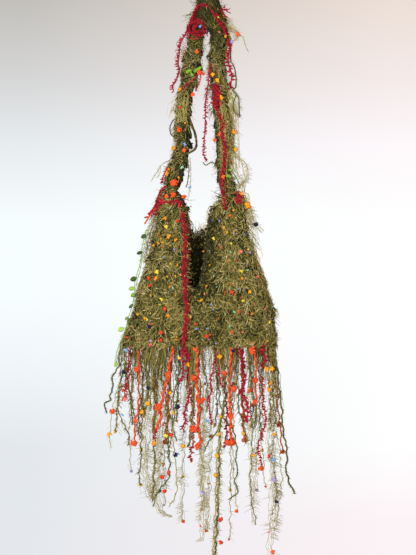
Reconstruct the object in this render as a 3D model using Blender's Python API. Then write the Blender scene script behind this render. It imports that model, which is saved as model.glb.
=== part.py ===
"""A shaggy looped string bag, hung by its shoulder strap, with a long yarn fringe.

Metres, +Z up. The front of the bag faces -Y. The origin is the hang point: the underside of the strap's
top fold, where a hook or peg holds the bag. Tables are in millimetres, and mm turns them to metres.
"""

import bisect
import math

import bmesh
import bpy
from mathutils import Vector, noise
from mathutils.bvhtree import BVHTree

mm = 0.001

# Driving sizes, in millimetres: the hem's height, and the thickness of the looped cloth with its pile
HEM_Z = -706
WALL = 8

# How finely the pouch and the strap are divided, round and along, and how near points on a seam are merged
POUCH_AROUND = 64
POUCH_ALONG = 15
STRAP_AROUND = 12
RING_AROUND = 40
RING_ALONG = 2
SEAM_MERGE = 0.01

# Uneven pile: how far apart the humps are and how high
COARSE_LUMPS = (60, 2.5)
FINE_LUMPS = (24, 3.2)
STRAP_LUMPS = (15, 2.2)

# Locks of pile that stand out: how far apart, how long, how far they droop, and how slim their tips are
RIM_LOCKS = (15, 9, -1)
SIDE_LOCKS = (24, 8, 9)
STRAP_LOCKS = (20, 6, 6)
LOCK_TIP = 0.35
LOCK_SHORTEST = 0.75
LOCK_VARIES = 0.5
LOCK_CELL = 7
SIDE_LOCKS_BEYOND = 60
SIDE_LOCKS_FROM = -690
SIDE_LOCKS_TO = -430
RIM_LOCKS_TO = -425
STRAP_LOCKS_FROM = -380
STRAP_LOCKS_TO = -90

# Clearances and yarn sizes, in millimetres. A yarn thins to its tip, and has reached its own depth by a
# quarter of its length. A laid yarn keeps clear of the pile, whose front is found by rays from RAY_FROM.
GAP = 0.4
LAID_GAP = 0.8
RAY_FROM = -200
YARN = 4.4
YARN_THINS = 0.45
YARN_TURNS_OUT = 4
BAND_WIDTH = 9
BAND_THICKNESS = 3.4
BAND_STEPS = 26

# The pouch's sections by height: left and right edge, and half of the depth
POUCH_SECTIONS = (
    # z, left, right, half_depth
    (-706, -170, 133, 30),
    (-684, -164, 130, 40),
    (-646, -146, 127, 47),
    (-594, -136, 117, 50),
    (-544, -130, 108, 48),
    (-492, -124, 94, 42),
    (-442, -116, 84, 29),
    (-412, -103, 74, 18),
    (-390, -88, 62, 14),
)

# The section is squarer at the hem and rounds above it. The rim draws the wall to it from this part up.
HEM_SQUARENESS = 0.35
BELLY_SQUARENESS = 0.8
HEM_ROUNDS_BY = 70
RIM_PULL_FROM = 0.3

# The rim, once round from the right horn: the V of the mouth in front, the shallow dip behind
RIM = (
    # turn, x, y, z
    (0.000, 74, 0, -412),
    (0.050, 60, -13, -405),
    (0.100, 32, -14, -406),
    (0.145, 17, -19, -432),
    (0.185, 5, -33, -490),
    (0.225, -1, -43, -536),
    (0.265, -9, -49, -582),
    (0.300, -24, -51, -604),
    (0.335, -42, -49, -584),
    (0.370, -46, -42, -538),
    (0.400, -45, -31, -488),
    (0.425, -48, -20, -448),
    (0.450, -57, -14, -403),
    (0.480, -84, -12, -396),
    (0.500, -98, 0, -401),
    (0.520, -84, 12, -396),
    (0.560, -57, 14, -403),
    (0.610, -46, 20, -440),
    (0.670, -38, 31, -474),
    (0.735, -20, 38, -487),
    (0.795, -2, 36, -470),
    (0.850, 9, 27, -450),
    (0.895, 18, 17, -428),
    (0.935, 32, 14, -406),
    (0.970, 60, 13, -405),
    (1.000, 74, 0, -412),
)

# The ends that are tucked into the horns, and the fold at the top, are smooth
TONGUE_HALF_DEPTH = 5
STRAP_SMOOTH_ABOVE = -40

# The strap's centre line from inside the left horn, over the hang point, to inside the right horn
STRAP = (
    # x, z, half_width, half_depth
    (-74, -418, 10, 2.6),
    (-72, -393, 11, 2.8),
    (-70, -387, 15, 9),
    (-65, -362, 15, 10),
    (-54, -330, 15, 10),
    (-50, -294, 14, 10),
    (-50, -248, 12, 10),
    (-44, -202, 13, 10),
    (-36, -170, 15, 10),
    (-32, -138, 17, 11),
    (-25, -108, 14, 12),
    (-21, -78, 15, 13),
    (-17, -54, 13, 14),
    (-12.5, -38, 8.5, 14.5),
    (-12, -14, 7, 15),
    (-8.5, 2, 7, 15),
    (0, 7, 7, 15),
    (8.5, 2, 7, 15),
    (12, -14, 7, 15),
    (12.5, -38, 9, 14.5),
    (18, -54, 14, 14),
    (22, -84, 17, 13),
    (19, -118, 14, 12),
    (17, -148, 15, 11),
    (20, -176, 15, 10),
    (25, -202, 15, 10),
    (24, -226, 13, 10),
    (29, -250, 16, 10),
    (33, -296, 17, 10),
    (33, -318, 16, 10),
    (31, -344, 13, 10),
    (35, -378, 13, 10),
    (41, -396, 16, 9),
    (43, -402, 11, 2.8),
    (44, -426, 10, 2.6),
)

# The yarns that hang free, each by four places along it: x at its root, a third, two thirds and its tip.
# swell is how many slubs, leaves or blooms thicken it, and reach is the width of one.
FRINGE_ROWS = {
    "fringe_front": (
        -25,
        (
            # root, third, two_thirds, tip, tip_z, swell, reach
            (-138, -162, -172, -164, -906, 0, 0),
            (-126, -138, -146, -150, -890, 3, 9),
            (-114, -124, -127, -122, -1010, 0, 0),
            (-99, -110, -114, -113, -990, 0, 0),
            (-74, -80, -88, -99, -898, 3, 13),
            (-52, -60, -66, -74, -1044, 0, 0),
            (-38, -37, -42, -52, -872, 5, 9),
            (-21, -20, -18, -22, -912, 4, 13),
            (-4, -7, -8, -11, -1094, 0, 0),
            (14, 7, 5, 8, -864, 0, 0),
            (28, 27, 20, 12, -1130, 0, 0),
            (46, 43, 44, 50, -906, 4, 13),
            (62, 70, 76, 80, -858, 5, 9),
            (82, 92, 95, 96, -822, 3, 12),
            (96, 109, 113, 104, -946, 4, 10),
            (108, 124, 128, 126, -794, 3, 9),
        ),
    ),
    "fringe_inner_front": (
        -10,
        (
            (-164, -184, -196, -202, -842, 0, 0),
            (-154, -168, -186, -196, -910, 3, 10),
            (-144, -151, -153, -156, -814, 0, 0),
            (-134, -140, -143, -146, -862, 0, 0),
            (-124, -122, -126, -130, -842, 0, 0),
            (-106, -104, -84, -96, -1026, 0, 0),
            (-88, -80, -68, -76, -1018, 0, 0),
            (-62, -66, -70, -66, -860, 0, 0),
            (-28, -27, -33, -40, -908, 0, 0),
            (0, 4, -2, -4, -840, 0, 0),
            (24, 22, 24, 29, -842, 0, 0),
            (38, 36, 58, 44, -1012, 0, 0),
            (60, 58, 64, 62, -880, 0, 0),
            (78, 80, 86, 90, -1060, 0, 0),
            (100, 104, 100, 106, -880, 0, 0),
            (116, 126, 128, 124, -1130, 0, 0),
            (128, 146, 158, 173, -1002, 0, 0),
        ),
    ),
    "fringe_inner_back": (
        8,
        (
            (-160, -170, -180, -186, -880, 0, 0),
            (-142, -150, -158, -154, -960, 3, 12),
            (-122, -124, -120, -128, -850, 0, 0),
            (-98, -96, -95, -98, -1000, 0, 0),
            (-72, -76, -80, -84, -900, 4, 12),
            (-46, -44, -50, -52, -1060, 0, 0),
            (-22, -18, -14, -20, -880, 0, 0),
            (4, 8, 4, -2, -1080, 0, 0),
            (30, 32, 38, 34, -910, 4, 12),
            (54, 52, 50, 58, -1040, 0, 0),
            (80, 84, 90, 86, -870, 0, 0),
            (104, 110, 108, 114, -990, 0, 0),
            (124, 136, 142, 150, -920, 3, 10),
        ),
    ),
    "fringe_back": (
        23,
        (
            (-134, -158, -164, -172, -820, 3, 12),
            (-122, -132, -134, -138, -990, 0, 0),
            (-110, -108, -106, -110, -880, 4, 12),
            (-84, -86, -90, -88, -1030, 0, 0),
            (-60, -58, -62, -64, -860, 0, 0),
            (-34, -32, -30, -34, -940, 5, 9),
            (-8, -6, -10, -12, -1040, 0, 0),
            (18, 20, 18, 16, -870, 0, 0),
            (42, 44, 46, 44, -1100, 0, 0),
            (68, 70, 70, 74, -900, 4, 12),
            (86, 94, 98, 96, -1000, 0, 0),
            (102, 118, 126, 124, -860, 0, 0),
        ),
    ),
}
STRIP_DEPTH = 11
STRIP_HEIGHT = 5
FRINGE_STEPS = 7
TOP_YARN_STEPS = 12
LACE_STEPS = 10
TAIL_STEPS = 5
STEPS_A_SLUB = 4

# The yarns that hang from the wound yarn at the top, by the part of the ring's turn they leave from
TOP_YARNS = (
    # turn, y, third, two_thirds, tip, tip_z, swell, reach
    (0.390, -22, -50, -60, -70, -200, 5, 8),
    (0.270, -24, 8, -4, -8, -330, 8, 9),
    (0.170, -21, 40, 42, 48, -192, 0, 0),
    (0.110, -23, 50, 61, 64, -256, 0, 0),
    (0.640, 22, -24, -28, -24, -240, 4, 9),
    (0.860, 22, 20, 26, 22, -210, 0, 0),
)
TOP_WRAP = {"x": 0.3, "half_width": 26, "half_depth": 19, "z": -33, "height": 11, "wall": 4}

# The lace yarns tied in front of the right arm
LACE_HEAD = {"x": 47, "y": -13, "z": -322, "width": 16, "depth": 6, "height": 10}
LACE_YARNS = (
    # root, y, third, two_thirds, tip, tip_z, swell, reach
    (43, -17, 55, 63, 61, -414, 3, 9),
    (51, -23, 79, 82, 112, -480, 0, 0),
)

# Yarns laid on the pouch and the strap, by points down their length
BAND_LINE = (
    (-54, -436),
    (-52, -474),
    (-53, -520),
    (-53, -569),
    (-50, -600),
    (-45, -640),
    (-46, -678),
    (-49, -704),
)
BAND_TAILS = (
    # turn of the band's end, third, two_thirds, tip, tip_z
    (-1, -52, -49, -56, -777),
    (1, -43, -38, -36, -742),
)
TAPE_LINE = ((22, -190), (20, -226), (25, -254), (30, -296), (32, -345), (30, -372), (34, -398))
LEAF_LINE = (
    (-104, -452),
    (-122, -474),
    (-137, -515),
    (-146, -560),
    (-152, -600),
    (-160, -640),
    (-174, -680),
    (-183, -716),
    (-188, -748),
)
LEAF_COUNT = 9
LEAF_STEM = 3
LEAF_Y = -14
LEAF_REACH = 13

# Colours and finishes: red, green, blue and roughness
FINISHES = {
    "pouch": (0.16, 0.17, 0.05, 0.95),
    "shoulder_strap": (0.17, 0.18, 0.05, 0.95),
    "top_wrap": (0.40, 0.01, 0.03, 0.9),
    "right_lace": (0.45, 0.40, 0.22, 0.95),
    "crimson_band": (0.42, 0.01, 0.03, 0.9),
    "crimson_tape": (0.42, 0.01, 0.03, 0.9),
    "leaf_vine": (0.22, 0.33, 0.05, 0.9),
    "fringe_front": (0.55, 0.14, 0.04, 0.95),
    "fringe_inner_front": (0.20, 0.20, 0.06, 0.95),
    "fringe_inner_back": (0.24, 0.22, 0.07, 0.95),
    "fringe_back": (0.45, 0.12, 0.04, 0.95),
}


def finish_for(name):
    """The material of one node."""
    red, green, blue, roughness = FINISHES[name]
    material = bpy.data.materials.new(name + "_yarn")
    material.use_nodes = True
    shader = material.node_tree.nodes["Principled BSDF"]
    shader.inputs["Base Color"].default_value = (red, green, blue, 1)
    shader.inputs["Roughness"].default_value = roughness
    shader.inputs["Metallic"].default_value = 0
    material.diffuse_color = (red, green, blue, 1)
    return material


def node_from(name, bm):
    """Turns a bmesh in millimetres into the named object, in metres, with its material."""
    bmesh.ops.recalc_face_normals(bm, faces=bm.faces)
    bmesh.ops.scale(bm, verts=bm.verts, vec=(mm, mm, mm))
    mesh = bpy.data.meshes.new(name)
    bm.to_mesh(mesh)
    bm.free()
    mesh.materials.append(finish_for(name))
    mesh.shade_smooth()
    obj = bpy.data.objects.new(name, mesh)
    bpy.context.scene.collection.objects.link(obj)
    return obj


def through(rows, place):
    """The columns after the first, at a place in the first, on a smooth curve through the rows."""
    places = [row[0] for row in rows]
    last = len(rows) - 2
    span = min(max(bisect.bisect_right(places, place) - 1, 0), last)
    low, high = rows[span], rows[span + 1]
    before = rows[max(span - 1, 0)]
    after = rows[min(span + 2, last + 1)]
    length = high[0] - low[0]
    t = min(max((place - low[0]) / length, 0), 1)
    values = []
    for column in range(1, len(low)):
        start = (high[column] - before[column]) / max(high[0] - before[0], 1e-9) * length
        end = (after[column] - low[column]) / max(after[0] - low[0], 1e-9) * length
        values.append(
            (2 * t**3 - 3 * t**2 + 1) * low[column]
            + (t**3 - 2 * t**2 + t) * start
            + (3 * t**2 - 2 * t**3) * high[column]
            + (t**3 - t**2) * end
        )
    return values


def smooth_step(t):
    """0 to 1 with level ends."""
    t = min(max(t, 0), 1)
    return t * t * (3 - 2 * t)


def lump(point, lumps):
    """How far the pile stands out at a point: a noise whose humps have the given spacing and height."""
    spacing, height = lumps
    return height * noise.noise(Vector(point) / spacing)


def rounded(angle, squareness):
    """The sine of an angle, squared off: 1 gives an ellipse, and less gives fuller corners."""
    return math.copysign(abs(math.sin(angle)) ** squareness, math.sin(angle))


def wrapped_grid(around, along, place):
    """An open tube: a grid whose columns go once round and whose rows go along, each point set by place."""
    bm = bmesh.new()
    bmesh.ops.create_grid(bm, x_segments=around, y_segments=along, size=1)
    for vert in bm.verts:
        vert.co = place(((vert.co.x + 1) / 2) % 1, (vert.co.y + 1) / 2)
    bmesh.ops.remove_doubles(bm, verts=bm.verts, dist=SEAM_MERGE)
    return bm


def apart(faces, clearance):
    """Those of the faces whose centres are at least the clearance from each one taken before."""
    taken = []
    for face in faces:
        centre = face.calc_center_median()
        if all((centre - other.calc_center_median()).length > clearance for other in taken):
            taken.append(face)
    return taken


def draw_locks(bm, faces, kind):
    """Draws tapered locks of pile out of some of the faces, a little apart, each to a small drooping tip."""
    spacing, length, droop = kind
    for face in apart(faces, spacing):
        normal = face.normal.copy()
        varied = noise.cell(face.calc_center_median() / LOCK_CELL)
        reach = length * (LOCK_SHORTEST + LOCK_VARIES * varied)
        tip = bmesh.ops.extrude_discrete_faces(bm, faces=[face])["faces"][0]
        centre = tip.calc_center_median()
        for vert in tip.verts:
            vert.co = centre + (vert.co - centre) * LOCK_TIP + normal * reach - Vector((0, 0, droop))


def pouch_point(turn, along):
    """A point of the pouch's outer surface: the sections below, drawn to the rim's own line above."""
    rim_x, rim_y, rim_z = through(RIM, turn)
    z = HEM_Z + (rim_z - HEM_Z) * along
    left, right, half_depth = through(POUCH_SECTIONS, z)
    angle = 2 * math.pi * turn
    x = (left + right) / 2 + (right - left) / 2 * math.cos(angle)
    rounding = smooth_step((z - HEM_Z) / HEM_ROUNDS_BY)
    squareness = HEM_SQUARENESS + (BELLY_SQUARENESS - HEM_SQUARENESS) * rounding
    y = -half_depth * rounded(angle, squareness)
    to_rim = smooth_step((along - RIM_PULL_FROM) / (1 - RIM_PULL_FROM))
    x += (rim_x - x) * to_rim
    y += (rim_y - y) * to_rim
    return Vector((x, y, z))


def close_bottom(bm, middle):
    """Joins the front and back of the hem with one row of faces."""
    left, right, half_depth = POUCH_SECTIONS[0][1:]
    half_width = (right - left) / 2

    def turn_of(vert):
        angle = math.atan2(vert.co.y / half_depth, (vert.co.x - middle) / half_width)
        return angle % (2 * math.pi)

    hem = sorted((vert for vert in bm.verts if abs(vert.co.z - HEM_Z) < GAP), key=turn_of)
    for step in range(len(hem) // 2):
        bm.faces.new(dict.fromkeys([hem[step], hem[step + 1], hem[-step - 1], hem[-step]]))


def make_pouch():
    """Two looped walls and a closed bottom in one piece, lumpy, with locks of pile at its rim and sides."""
    bm = wrapped_grid(POUCH_AROUND, POUCH_ALONG, pouch_point)
    middle = (POUCH_SECTIONS[0][1] + POUCH_SECTIONS[0][2]) / 2
    close_bottom(bm, middle)
    bmesh.ops.recalc_face_normals(bm, faces=bm.faces)
    bm.normal_update()
    for vert in bm.verts:
        if vert.co.z > HEM_Z + GAP:
            vert.co += vert.normal * (lump(vert.co, FINE_LUMPS) + lump(vert.co, COARSE_LUMPS))
    outer = set(bm.verts)
    bmesh.ops.solidify(bm, geom=list(bm.faces), thickness=WALL)
    bmesh.ops.recalc_face_normals(bm, faces=bm.faces)
    bm.normal_update()
    rim = []
    sides = []
    for face in bm.faces:
        centre = face.calc_center_median()
        shared = len(outer.intersection(face.verts))
        if shared == 2 and centre.z < RIM_LOCKS_TO:
            rim.append(face)
        faces_out = face.normal.x * (centre.x - middle) > SIDE_LOCKS_BEYOND
        if shared == len(face.verts) and faces_out and SIDE_LOCKS_FROM < centre.z < SIDE_LOCKS_TO:
            sides.append(face)
    draw_locks(bm, rim, RIM_LOCKS)
    draw_locks(bm, sides, SIDE_LOCKS)
    return node_from("pouch", bm)


def strap_rows():
    """The strap's table with the length along its centre line as the first column."""
    rows = []
    length = 0
    for index, (x, z, half_width, half_depth) in enumerate(STRAP):
        if index:
            length += math.dist((x, z), STRAP[index - 1][:2])
        rows.append((length, x, z, half_width, half_depth))
    return rows


def make_strap():
    """One flattened, lumpy strap from horn to horn, folded over the hang point, with locks down its edges."""
    rows = strap_rows()
    whole = rows[-1][0]
    halfway = {(row[0] + following[0]) / 2 for row, following in zip(rows, rows[1:])}
    stations = sorted({row[0] for row in rows} | halfway)
    steps = len(stations) - 1

    def place(turn, along):
        length = stations[round(along * steps)]
        x, z, half_width, half_depth = through(rows, length)
        behind, ahead = through(rows, max(length - 1, 0)), through(rows, min(length + 1, whole))
        tangent = Vector((ahead[0] - behind[0], 0, ahead[1] - behind[1])).normalized()
        across = Vector((-tangent.z, 0, tangent.x))
        angle = 2 * math.pi * turn
        centre = Vector((x, 0, z))
        point = centre + across * half_width * math.cos(angle) + Vector((0, half_depth * math.sin(angle), 0))
        if half_depth < TONGUE_HALF_DEPTH or z > STRAP_SMOOTH_ABOVE:
            return point
        return point + (point - centre).normalized() * lump(point, STRAP_LUMPS)

    bm = wrapped_grid(STRAP_AROUND, steps, place)
    bmesh.ops.holes_fill(bm, edges=[edge for edge in bm.edges if edge.is_boundary], sides=0)
    bmesh.ops.recalc_face_normals(bm, faces=bm.faces)
    bm.normal_update()
    edges = [
        face
        for face in bm.faces
        if abs(face.normal.x) > 0.75 and STRAP_LOCKS_FROM < face.calc_center_median().z < STRAP_LOCKS_TO
    ]
    draw_locks(bm, edges, STRAP_LOCKS)
    return node_from("shoulder_strap", bm)


def yarn_width(along, swell, reach):
    """The yarn's half width at a place along it: plain, or thickened by slubs, leaves or blooms."""
    plain = YARN / 2 * (1 - YARN_THINS * along)
    if not swell:
        return plain
    slub = max(0, math.sin(2 * math.pi * (swell * along - 0.25))) ** 2
    return plain + (reach / 2 - plain) * slub


def split_at(bm, places):
    """Cuts the mesh across X on both sides of each place, so that a yarn's root has a face of its own."""
    for place in places:
        for side in (-YARN / 2, YARN / 2):
            geometry = [*bm.verts, *bm.edges, *bm.faces]
            bmesh.ops.bisect_plane(bm, geom=geometry, plane_co=(place + side, 0, 0), plane_no=(1, 0, 0))
    bm.normal_update()


def block(bm, centre, size):
    """A box of the given size about a centre."""
    bmesh.ops.create_cube(bm, size=1)
    bmesh.ops.scale(bm, verts=bm.verts, vec=size)
    bmesh.ops.translate(bm, verts=bm.verts, vec=centre)


def take_nearest(faces, place):
    """The face nearest to a place, taken out of the list."""
    face = min(faces, key=lambda one: (one.calc_center_median() - place).length)
    faces.remove(face)
    return face


def undersides(bm):
    """The faces that look straight down."""
    return [face for face in bm.faces if face.normal.z < -0.9]


def corner_signs(face, middle):
    """Which side of the middle each of the face's corners is on, across and in depth."""
    return [
        (math.copysign(1, vert.co.x - middle.x), math.copysign(1, vert.co.y - middle.y))
        for vert in face.verts
    ]


def draw_yarn(bm, face, xs, y_end, tip_z, steps, swell=0, reach=0):
    """Draws a four-sided yarn down from a face through four places given by their x, closed as it goes."""
    root = face.calc_center_median()
    rows = tuple((index / 3, x) for index, x in enumerate((root.x, *xs)))
    signs = corner_signs(face, root)
    steps = max(steps, swell * STEPS_A_SLUB)
    for step in range(1, steps + 1):
        along = step / steps
        y = root.y + (y_end - root.y) * smooth_step(YARN_TURNS_OUT * along)
        centre = Vector((through(rows, along)[0], y, root.z + (tip_z - root.z) * along))
        half = yarn_width(along, swell, reach)
        face = bmesh.ops.extrude_discrete_faces(bm, faces=[face])["faces"][0]
        for vert, (side_x, side_y) in zip(face.verts, signs):
            vert.co = centre + Vector((side_x * half, side_y * min(half, YARN / 2), 0))


def make_fringe(name, y, rows):
    """A narrow strip under the hem with its row of yarns hanging from it, root by root."""
    bm = bmesh.new()
    low, high = rows[0][0] - YARN, rows[-1][0] + YARN
    middle_z = HEM_Z - GAP - STRIP_HEIGHT / 2
    block(bm, ((low + high) / 2, y, middle_z), (high - low, STRIP_DEPTH, STRIP_HEIGHT))
    split_at(bm, [row[0] for row in rows])
    under = undersides(bm)
    for root, third, two_thirds, tip, tip_z, swell, reach in rows:
        face = take_nearest(under, Vector((root, y, middle_z)))
        draw_yarn(bm, face, (third, two_thirds, tip), y, tip_z, FRINGE_STEPS, swell, reach)
    return node_from(name, bm)


def make_top_wrap():
    """Yarn wound round both strap arms as a ring, with the loose yarns that hang from its lower edge."""
    size = TOP_WRAP

    def place(turn, along):
        angle = 2 * math.pi * turn
        return Vector((
            size["x"] + size["half_width"] * math.cos(angle),
            -size["half_depth"] * rounded(angle, BELLY_SQUARENESS),
            size["z"] + size["height"] * (along - 0.5),
        ))

    bm = wrapped_grid(RING_AROUND, RING_ALONG, place)
    bmesh.ops.recalc_face_normals(bm, faces=bm.faces)
    bmesh.ops.solidify(bm, geom=list(bm.faces), thickness=-size["wall"])
    bmesh.ops.recalc_face_normals(bm, faces=bm.faces)
    bm.normal_update()
    under = undersides(bm)
    for turn, y_end, third, two_thirds, tip, tip_z, swell, reach in TOP_YARNS:
        face = take_nearest(under, place(turn, 0))
        draw_yarn(bm, face, (third, two_thirds, tip), y_end, tip_z, TOP_YARN_STEPS, swell, reach)
    return node_from("top_wrap", bm)


def make_lace():
    """A small knot in front of the right arm with two lace yarns."""
    head = LACE_HEAD
    centre = Vector((head["x"], head["y"], head["z"]))
    bm = bmesh.new()
    block(bm, centre, (head["width"], head["depth"], head["height"]))
    split_at(bm, [row[0] for row in LACE_YARNS])
    under = undersides(bm)
    for root, y_end, third, two_thirds, tip, tip_z, swell, reach in LACE_YARNS:
        face = take_nearest(under, Vector((root, centre.y, centre.z)))
        draw_yarn(bm, face, (third, two_thirds, tip), y_end, tip_z, LACE_STEPS, swell, reach)
    return node_from("right_lace", bm)


def surface_of(obj):
    """A tree of the object's faces, in millimetres."""
    points = [vert.co / mm for vert in obj.data.vertices]
    return BVHTree.FromPolygons(points, [tuple(face.vertices) for face in obj.data.polygons])


def front_of(trees, x, z, width):
    """The y of the frontmost surface over a band of the given width, or None where nothing is there."""
    found = []
    for side in (-0.5, -0.25, 0, 0.25, 0.5):
        for rise in (-4, 0, 4):
            start = Vector((x + side * width, RAY_FROM, z + rise))
            for tree in trees:
                hit = tree.ray_cast(start, Vector((0, 1, 0)))[0]
                if hit is not None:
                    found.append(hit.y)
    return min(found) if found else None


def laid_line(trees, line, width, steps):
    """Points down a line that lie on the front of what is below them, the width of a band clear of it."""
    rows = tuple((-z, x) for x, z in line)
    first, last = rows[0][0], rows[-1][0]
    points = []
    for step in range(steps + 1):
        drop = first + (last - first) * step / steps
        x = through(rows, drop)[0]
        points.append([x, front_of(trees, x, -drop, width + 2), -drop])
    fronts = [point[1] for point in points]
    for index, point in enumerate(points):
        near = [front for front in fronts[max(index - 1, 0):index + 2] if front is not None]
        point[1] = min(near) - LAID_GAP - BAND_THICKNESS / 2
    return [Vector(point) for point in points]


def draw_down(bm, centres, halves, half_depth):
    """Draws a flat bar down through its centres, each with its own half width, closed by construction."""
    bmesh.ops.create_cube(bm, size=1)
    for vert in bm.verts:
        step = 0 if vert.co.z > 0 else 1
        offset = Vector((2 * vert.co.x * halves[step], 2 * vert.co.y * half_depth, 0))
        vert.co = centres[step] + offset
    bm.normal_update()
    face = min(bm.faces, key=lambda one: one.normal.z)
    signs = corner_signs(face, face.calc_center_median())
    for centre, half in zip(centres[2:], halves[2:]):
        face = bmesh.ops.extrude_discrete_faces(bm, faces=[face])["faces"][0]
        for vert, (side_x, side_y) in zip(face.verts, signs):
            vert.co = centre + Vector((side_x * half, side_y * half_depth, 0))


def make_band(name, trees, line, tails):
    """A flat looped yarn laid down the front, and its tails hanging below."""
    points = laid_line(trees, line, BAND_WIDTH, BAND_STEPS)
    bm = bmesh.new()
    draw_down(bm, points, [BAND_WIDTH / 2] * len(points), BAND_THICKNESS / 2)
    end = points[-1]
    if tails:
        for side in (-1, 1):
            geometry = [*bm.verts, *bm.edges, *bm.faces]
            bmesh.ops.bisect_plane(bm, geom=geometry, plane_co=(end.x + side, 0, 0), plane_no=(1, 0, 0))
        bm.normal_update()
        under = [face for face in undersides(bm) if abs(face.calc_center_median().z - end.z) < GAP]
        for side, third, two_thirds, tip, tip_z in tails:
            face = take_nearest(under, end + Vector((side * BAND_WIDTH, 0, 0)))
            draw_yarn(bm, face, (third, two_thirds, tip), end.y - BAND_THICKNESS / 2, tip_z, TAIL_STEPS)
    return node_from(name, bm)


def make_leaf_vine(tree):
    """A thin yarn with small leaves, rooted on the pouch's left side and hanging past the hem."""
    rows = tuple((-z, x) for x, z in LEAF_LINE)
    first, last = rows[0][0], rows[-1][0]
    steps = LEAF_COUNT * STEPS_A_SLUB
    centres = []
    halves = []
    for step in range(steps + 1):
        along = step / steps
        drop = first + (last - first) * along
        point = Vector((through(rows, drop)[0], LEAF_Y, -drop))
        near, normal, _, distance = tree.find_nearest(point)
        clearance = LEAF_REACH / 2 + 2 * LAID_GAP if step else LEAF_STEM
        inside = (point - near).dot(normal) < 0
        if step == 0 or inside or distance < clearance:
            point = near + normal * clearance
        centres.append(Vector((point.x, point.y, -drop)))
        leaf = max(0, math.sin(2 * math.pi * (LEAF_COUNT * along - 0.25))) ** 2
        halves.append((LEAF_STEM + (LEAF_REACH - LEAF_STEM) * leaf) / 2)
    bm = bmesh.new()
    draw_down(bm, centres, halves, LEAF_STEM / 2)
    return node_from("leaf_vine", bm)


def main():
    """Clears the scene and makes each piece."""
    for obj in list(bpy.data.objects):
        bpy.data.objects.remove(obj, do_unlink=True)
    pouch = make_pouch()
    strap = make_strap()
    make_top_wrap()
    make_lace()
    pouch_tree, strap_tree = surface_of(pouch), surface_of(strap)
    make_band("crimson_band", [pouch_tree], BAND_LINE, BAND_TAILS)
    make_band("crimson_tape", [strap_tree, pouch_tree], TAPE_LINE, ())
    make_leaf_vine(pouch_tree)
    for name, (y, rows) in FRINGE_ROWS.items():
        make_fringe(name, y, rows)


main()
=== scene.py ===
"""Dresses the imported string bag: looped cloth under a shag of eyelash yarn, and a fringe of novelty yarns.

Places in the tables are in millimetres from the hang point as seen from the front, x to the right and z up.
"""

from __future__ import annotations

import logging
import math
from dataclasses import dataclass
from enum import Enum

import bmesh
import bpy
import numpy as np
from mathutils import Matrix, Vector
from mathutils.bvhtree import BVHTree

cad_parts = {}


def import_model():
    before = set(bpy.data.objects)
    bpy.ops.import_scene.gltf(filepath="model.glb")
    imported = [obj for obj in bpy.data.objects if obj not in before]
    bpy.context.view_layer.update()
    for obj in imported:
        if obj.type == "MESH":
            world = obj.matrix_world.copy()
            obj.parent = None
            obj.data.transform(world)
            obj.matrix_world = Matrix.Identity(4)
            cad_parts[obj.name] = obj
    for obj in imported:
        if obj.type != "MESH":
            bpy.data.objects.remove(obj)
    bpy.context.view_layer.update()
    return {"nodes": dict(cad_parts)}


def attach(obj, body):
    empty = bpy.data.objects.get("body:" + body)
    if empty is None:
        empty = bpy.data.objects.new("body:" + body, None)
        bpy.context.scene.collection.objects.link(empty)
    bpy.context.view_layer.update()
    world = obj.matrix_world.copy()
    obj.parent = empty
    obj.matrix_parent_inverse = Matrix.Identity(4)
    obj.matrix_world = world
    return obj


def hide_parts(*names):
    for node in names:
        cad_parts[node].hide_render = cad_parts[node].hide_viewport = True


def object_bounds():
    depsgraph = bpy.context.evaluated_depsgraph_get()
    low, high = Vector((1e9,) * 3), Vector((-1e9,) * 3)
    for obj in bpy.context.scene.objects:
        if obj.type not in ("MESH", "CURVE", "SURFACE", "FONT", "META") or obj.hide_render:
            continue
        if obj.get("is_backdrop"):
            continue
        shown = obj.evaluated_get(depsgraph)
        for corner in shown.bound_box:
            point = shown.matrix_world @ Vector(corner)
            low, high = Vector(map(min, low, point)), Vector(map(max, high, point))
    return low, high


MM = 0.001
UP = np.array((0.0, 0.0, 1.0))
DOWN = -UP
FRONT = np.array((0.0, -1.0, 0.0))
BACK = -FRONT
TURN = 2 * math.pi
# The spacing of the points along every yarn's route, in millimetres
STEP = 2.5
# The y of flecks and tufts at places where nothing lies behind them, in millimetres
OPEN_Y = -14.0

log = logging.getLogger("string_bag")


class Kind(Enum):
    """The kinds of yarn on the bag."""

    HAIRY = "olive chenille with eyelash hairs"
    BOUCLE = "dark green twisted boucle"
    TAPE = "orange crocheted cord"
    VINE = "crimson ladder yarn with leaflets"
    LACE = "pale ladder lace with eyelashes"
    RUST = "rust thread with slubs"
    PEACH = "thin straw thread with long hairs"
    GOLD = "gold tufted thread"
    OLIVE_CORD = "smooth dark olive cord"


def linear(hex_colour: str) -> tuple[float, float, float, float]:
    """Turns an sRGB hex colour into linear red, green, blue and alpha.

    Args:
        hex_colour: Six hex digits, such as "6b6a35".

    Returns:
        The linear colour with alpha 1.
    """
    parts = [int(hex_colour[i : i + 2], 16) / 255 for i in (0, 2, 4)]
    red, green, blue = (c / 12.92 if c <= 0.04045 else ((c + 0.055) / 1.055) ** 2.4 for c in parts)
    return red, green, blue, 1.0


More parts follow.
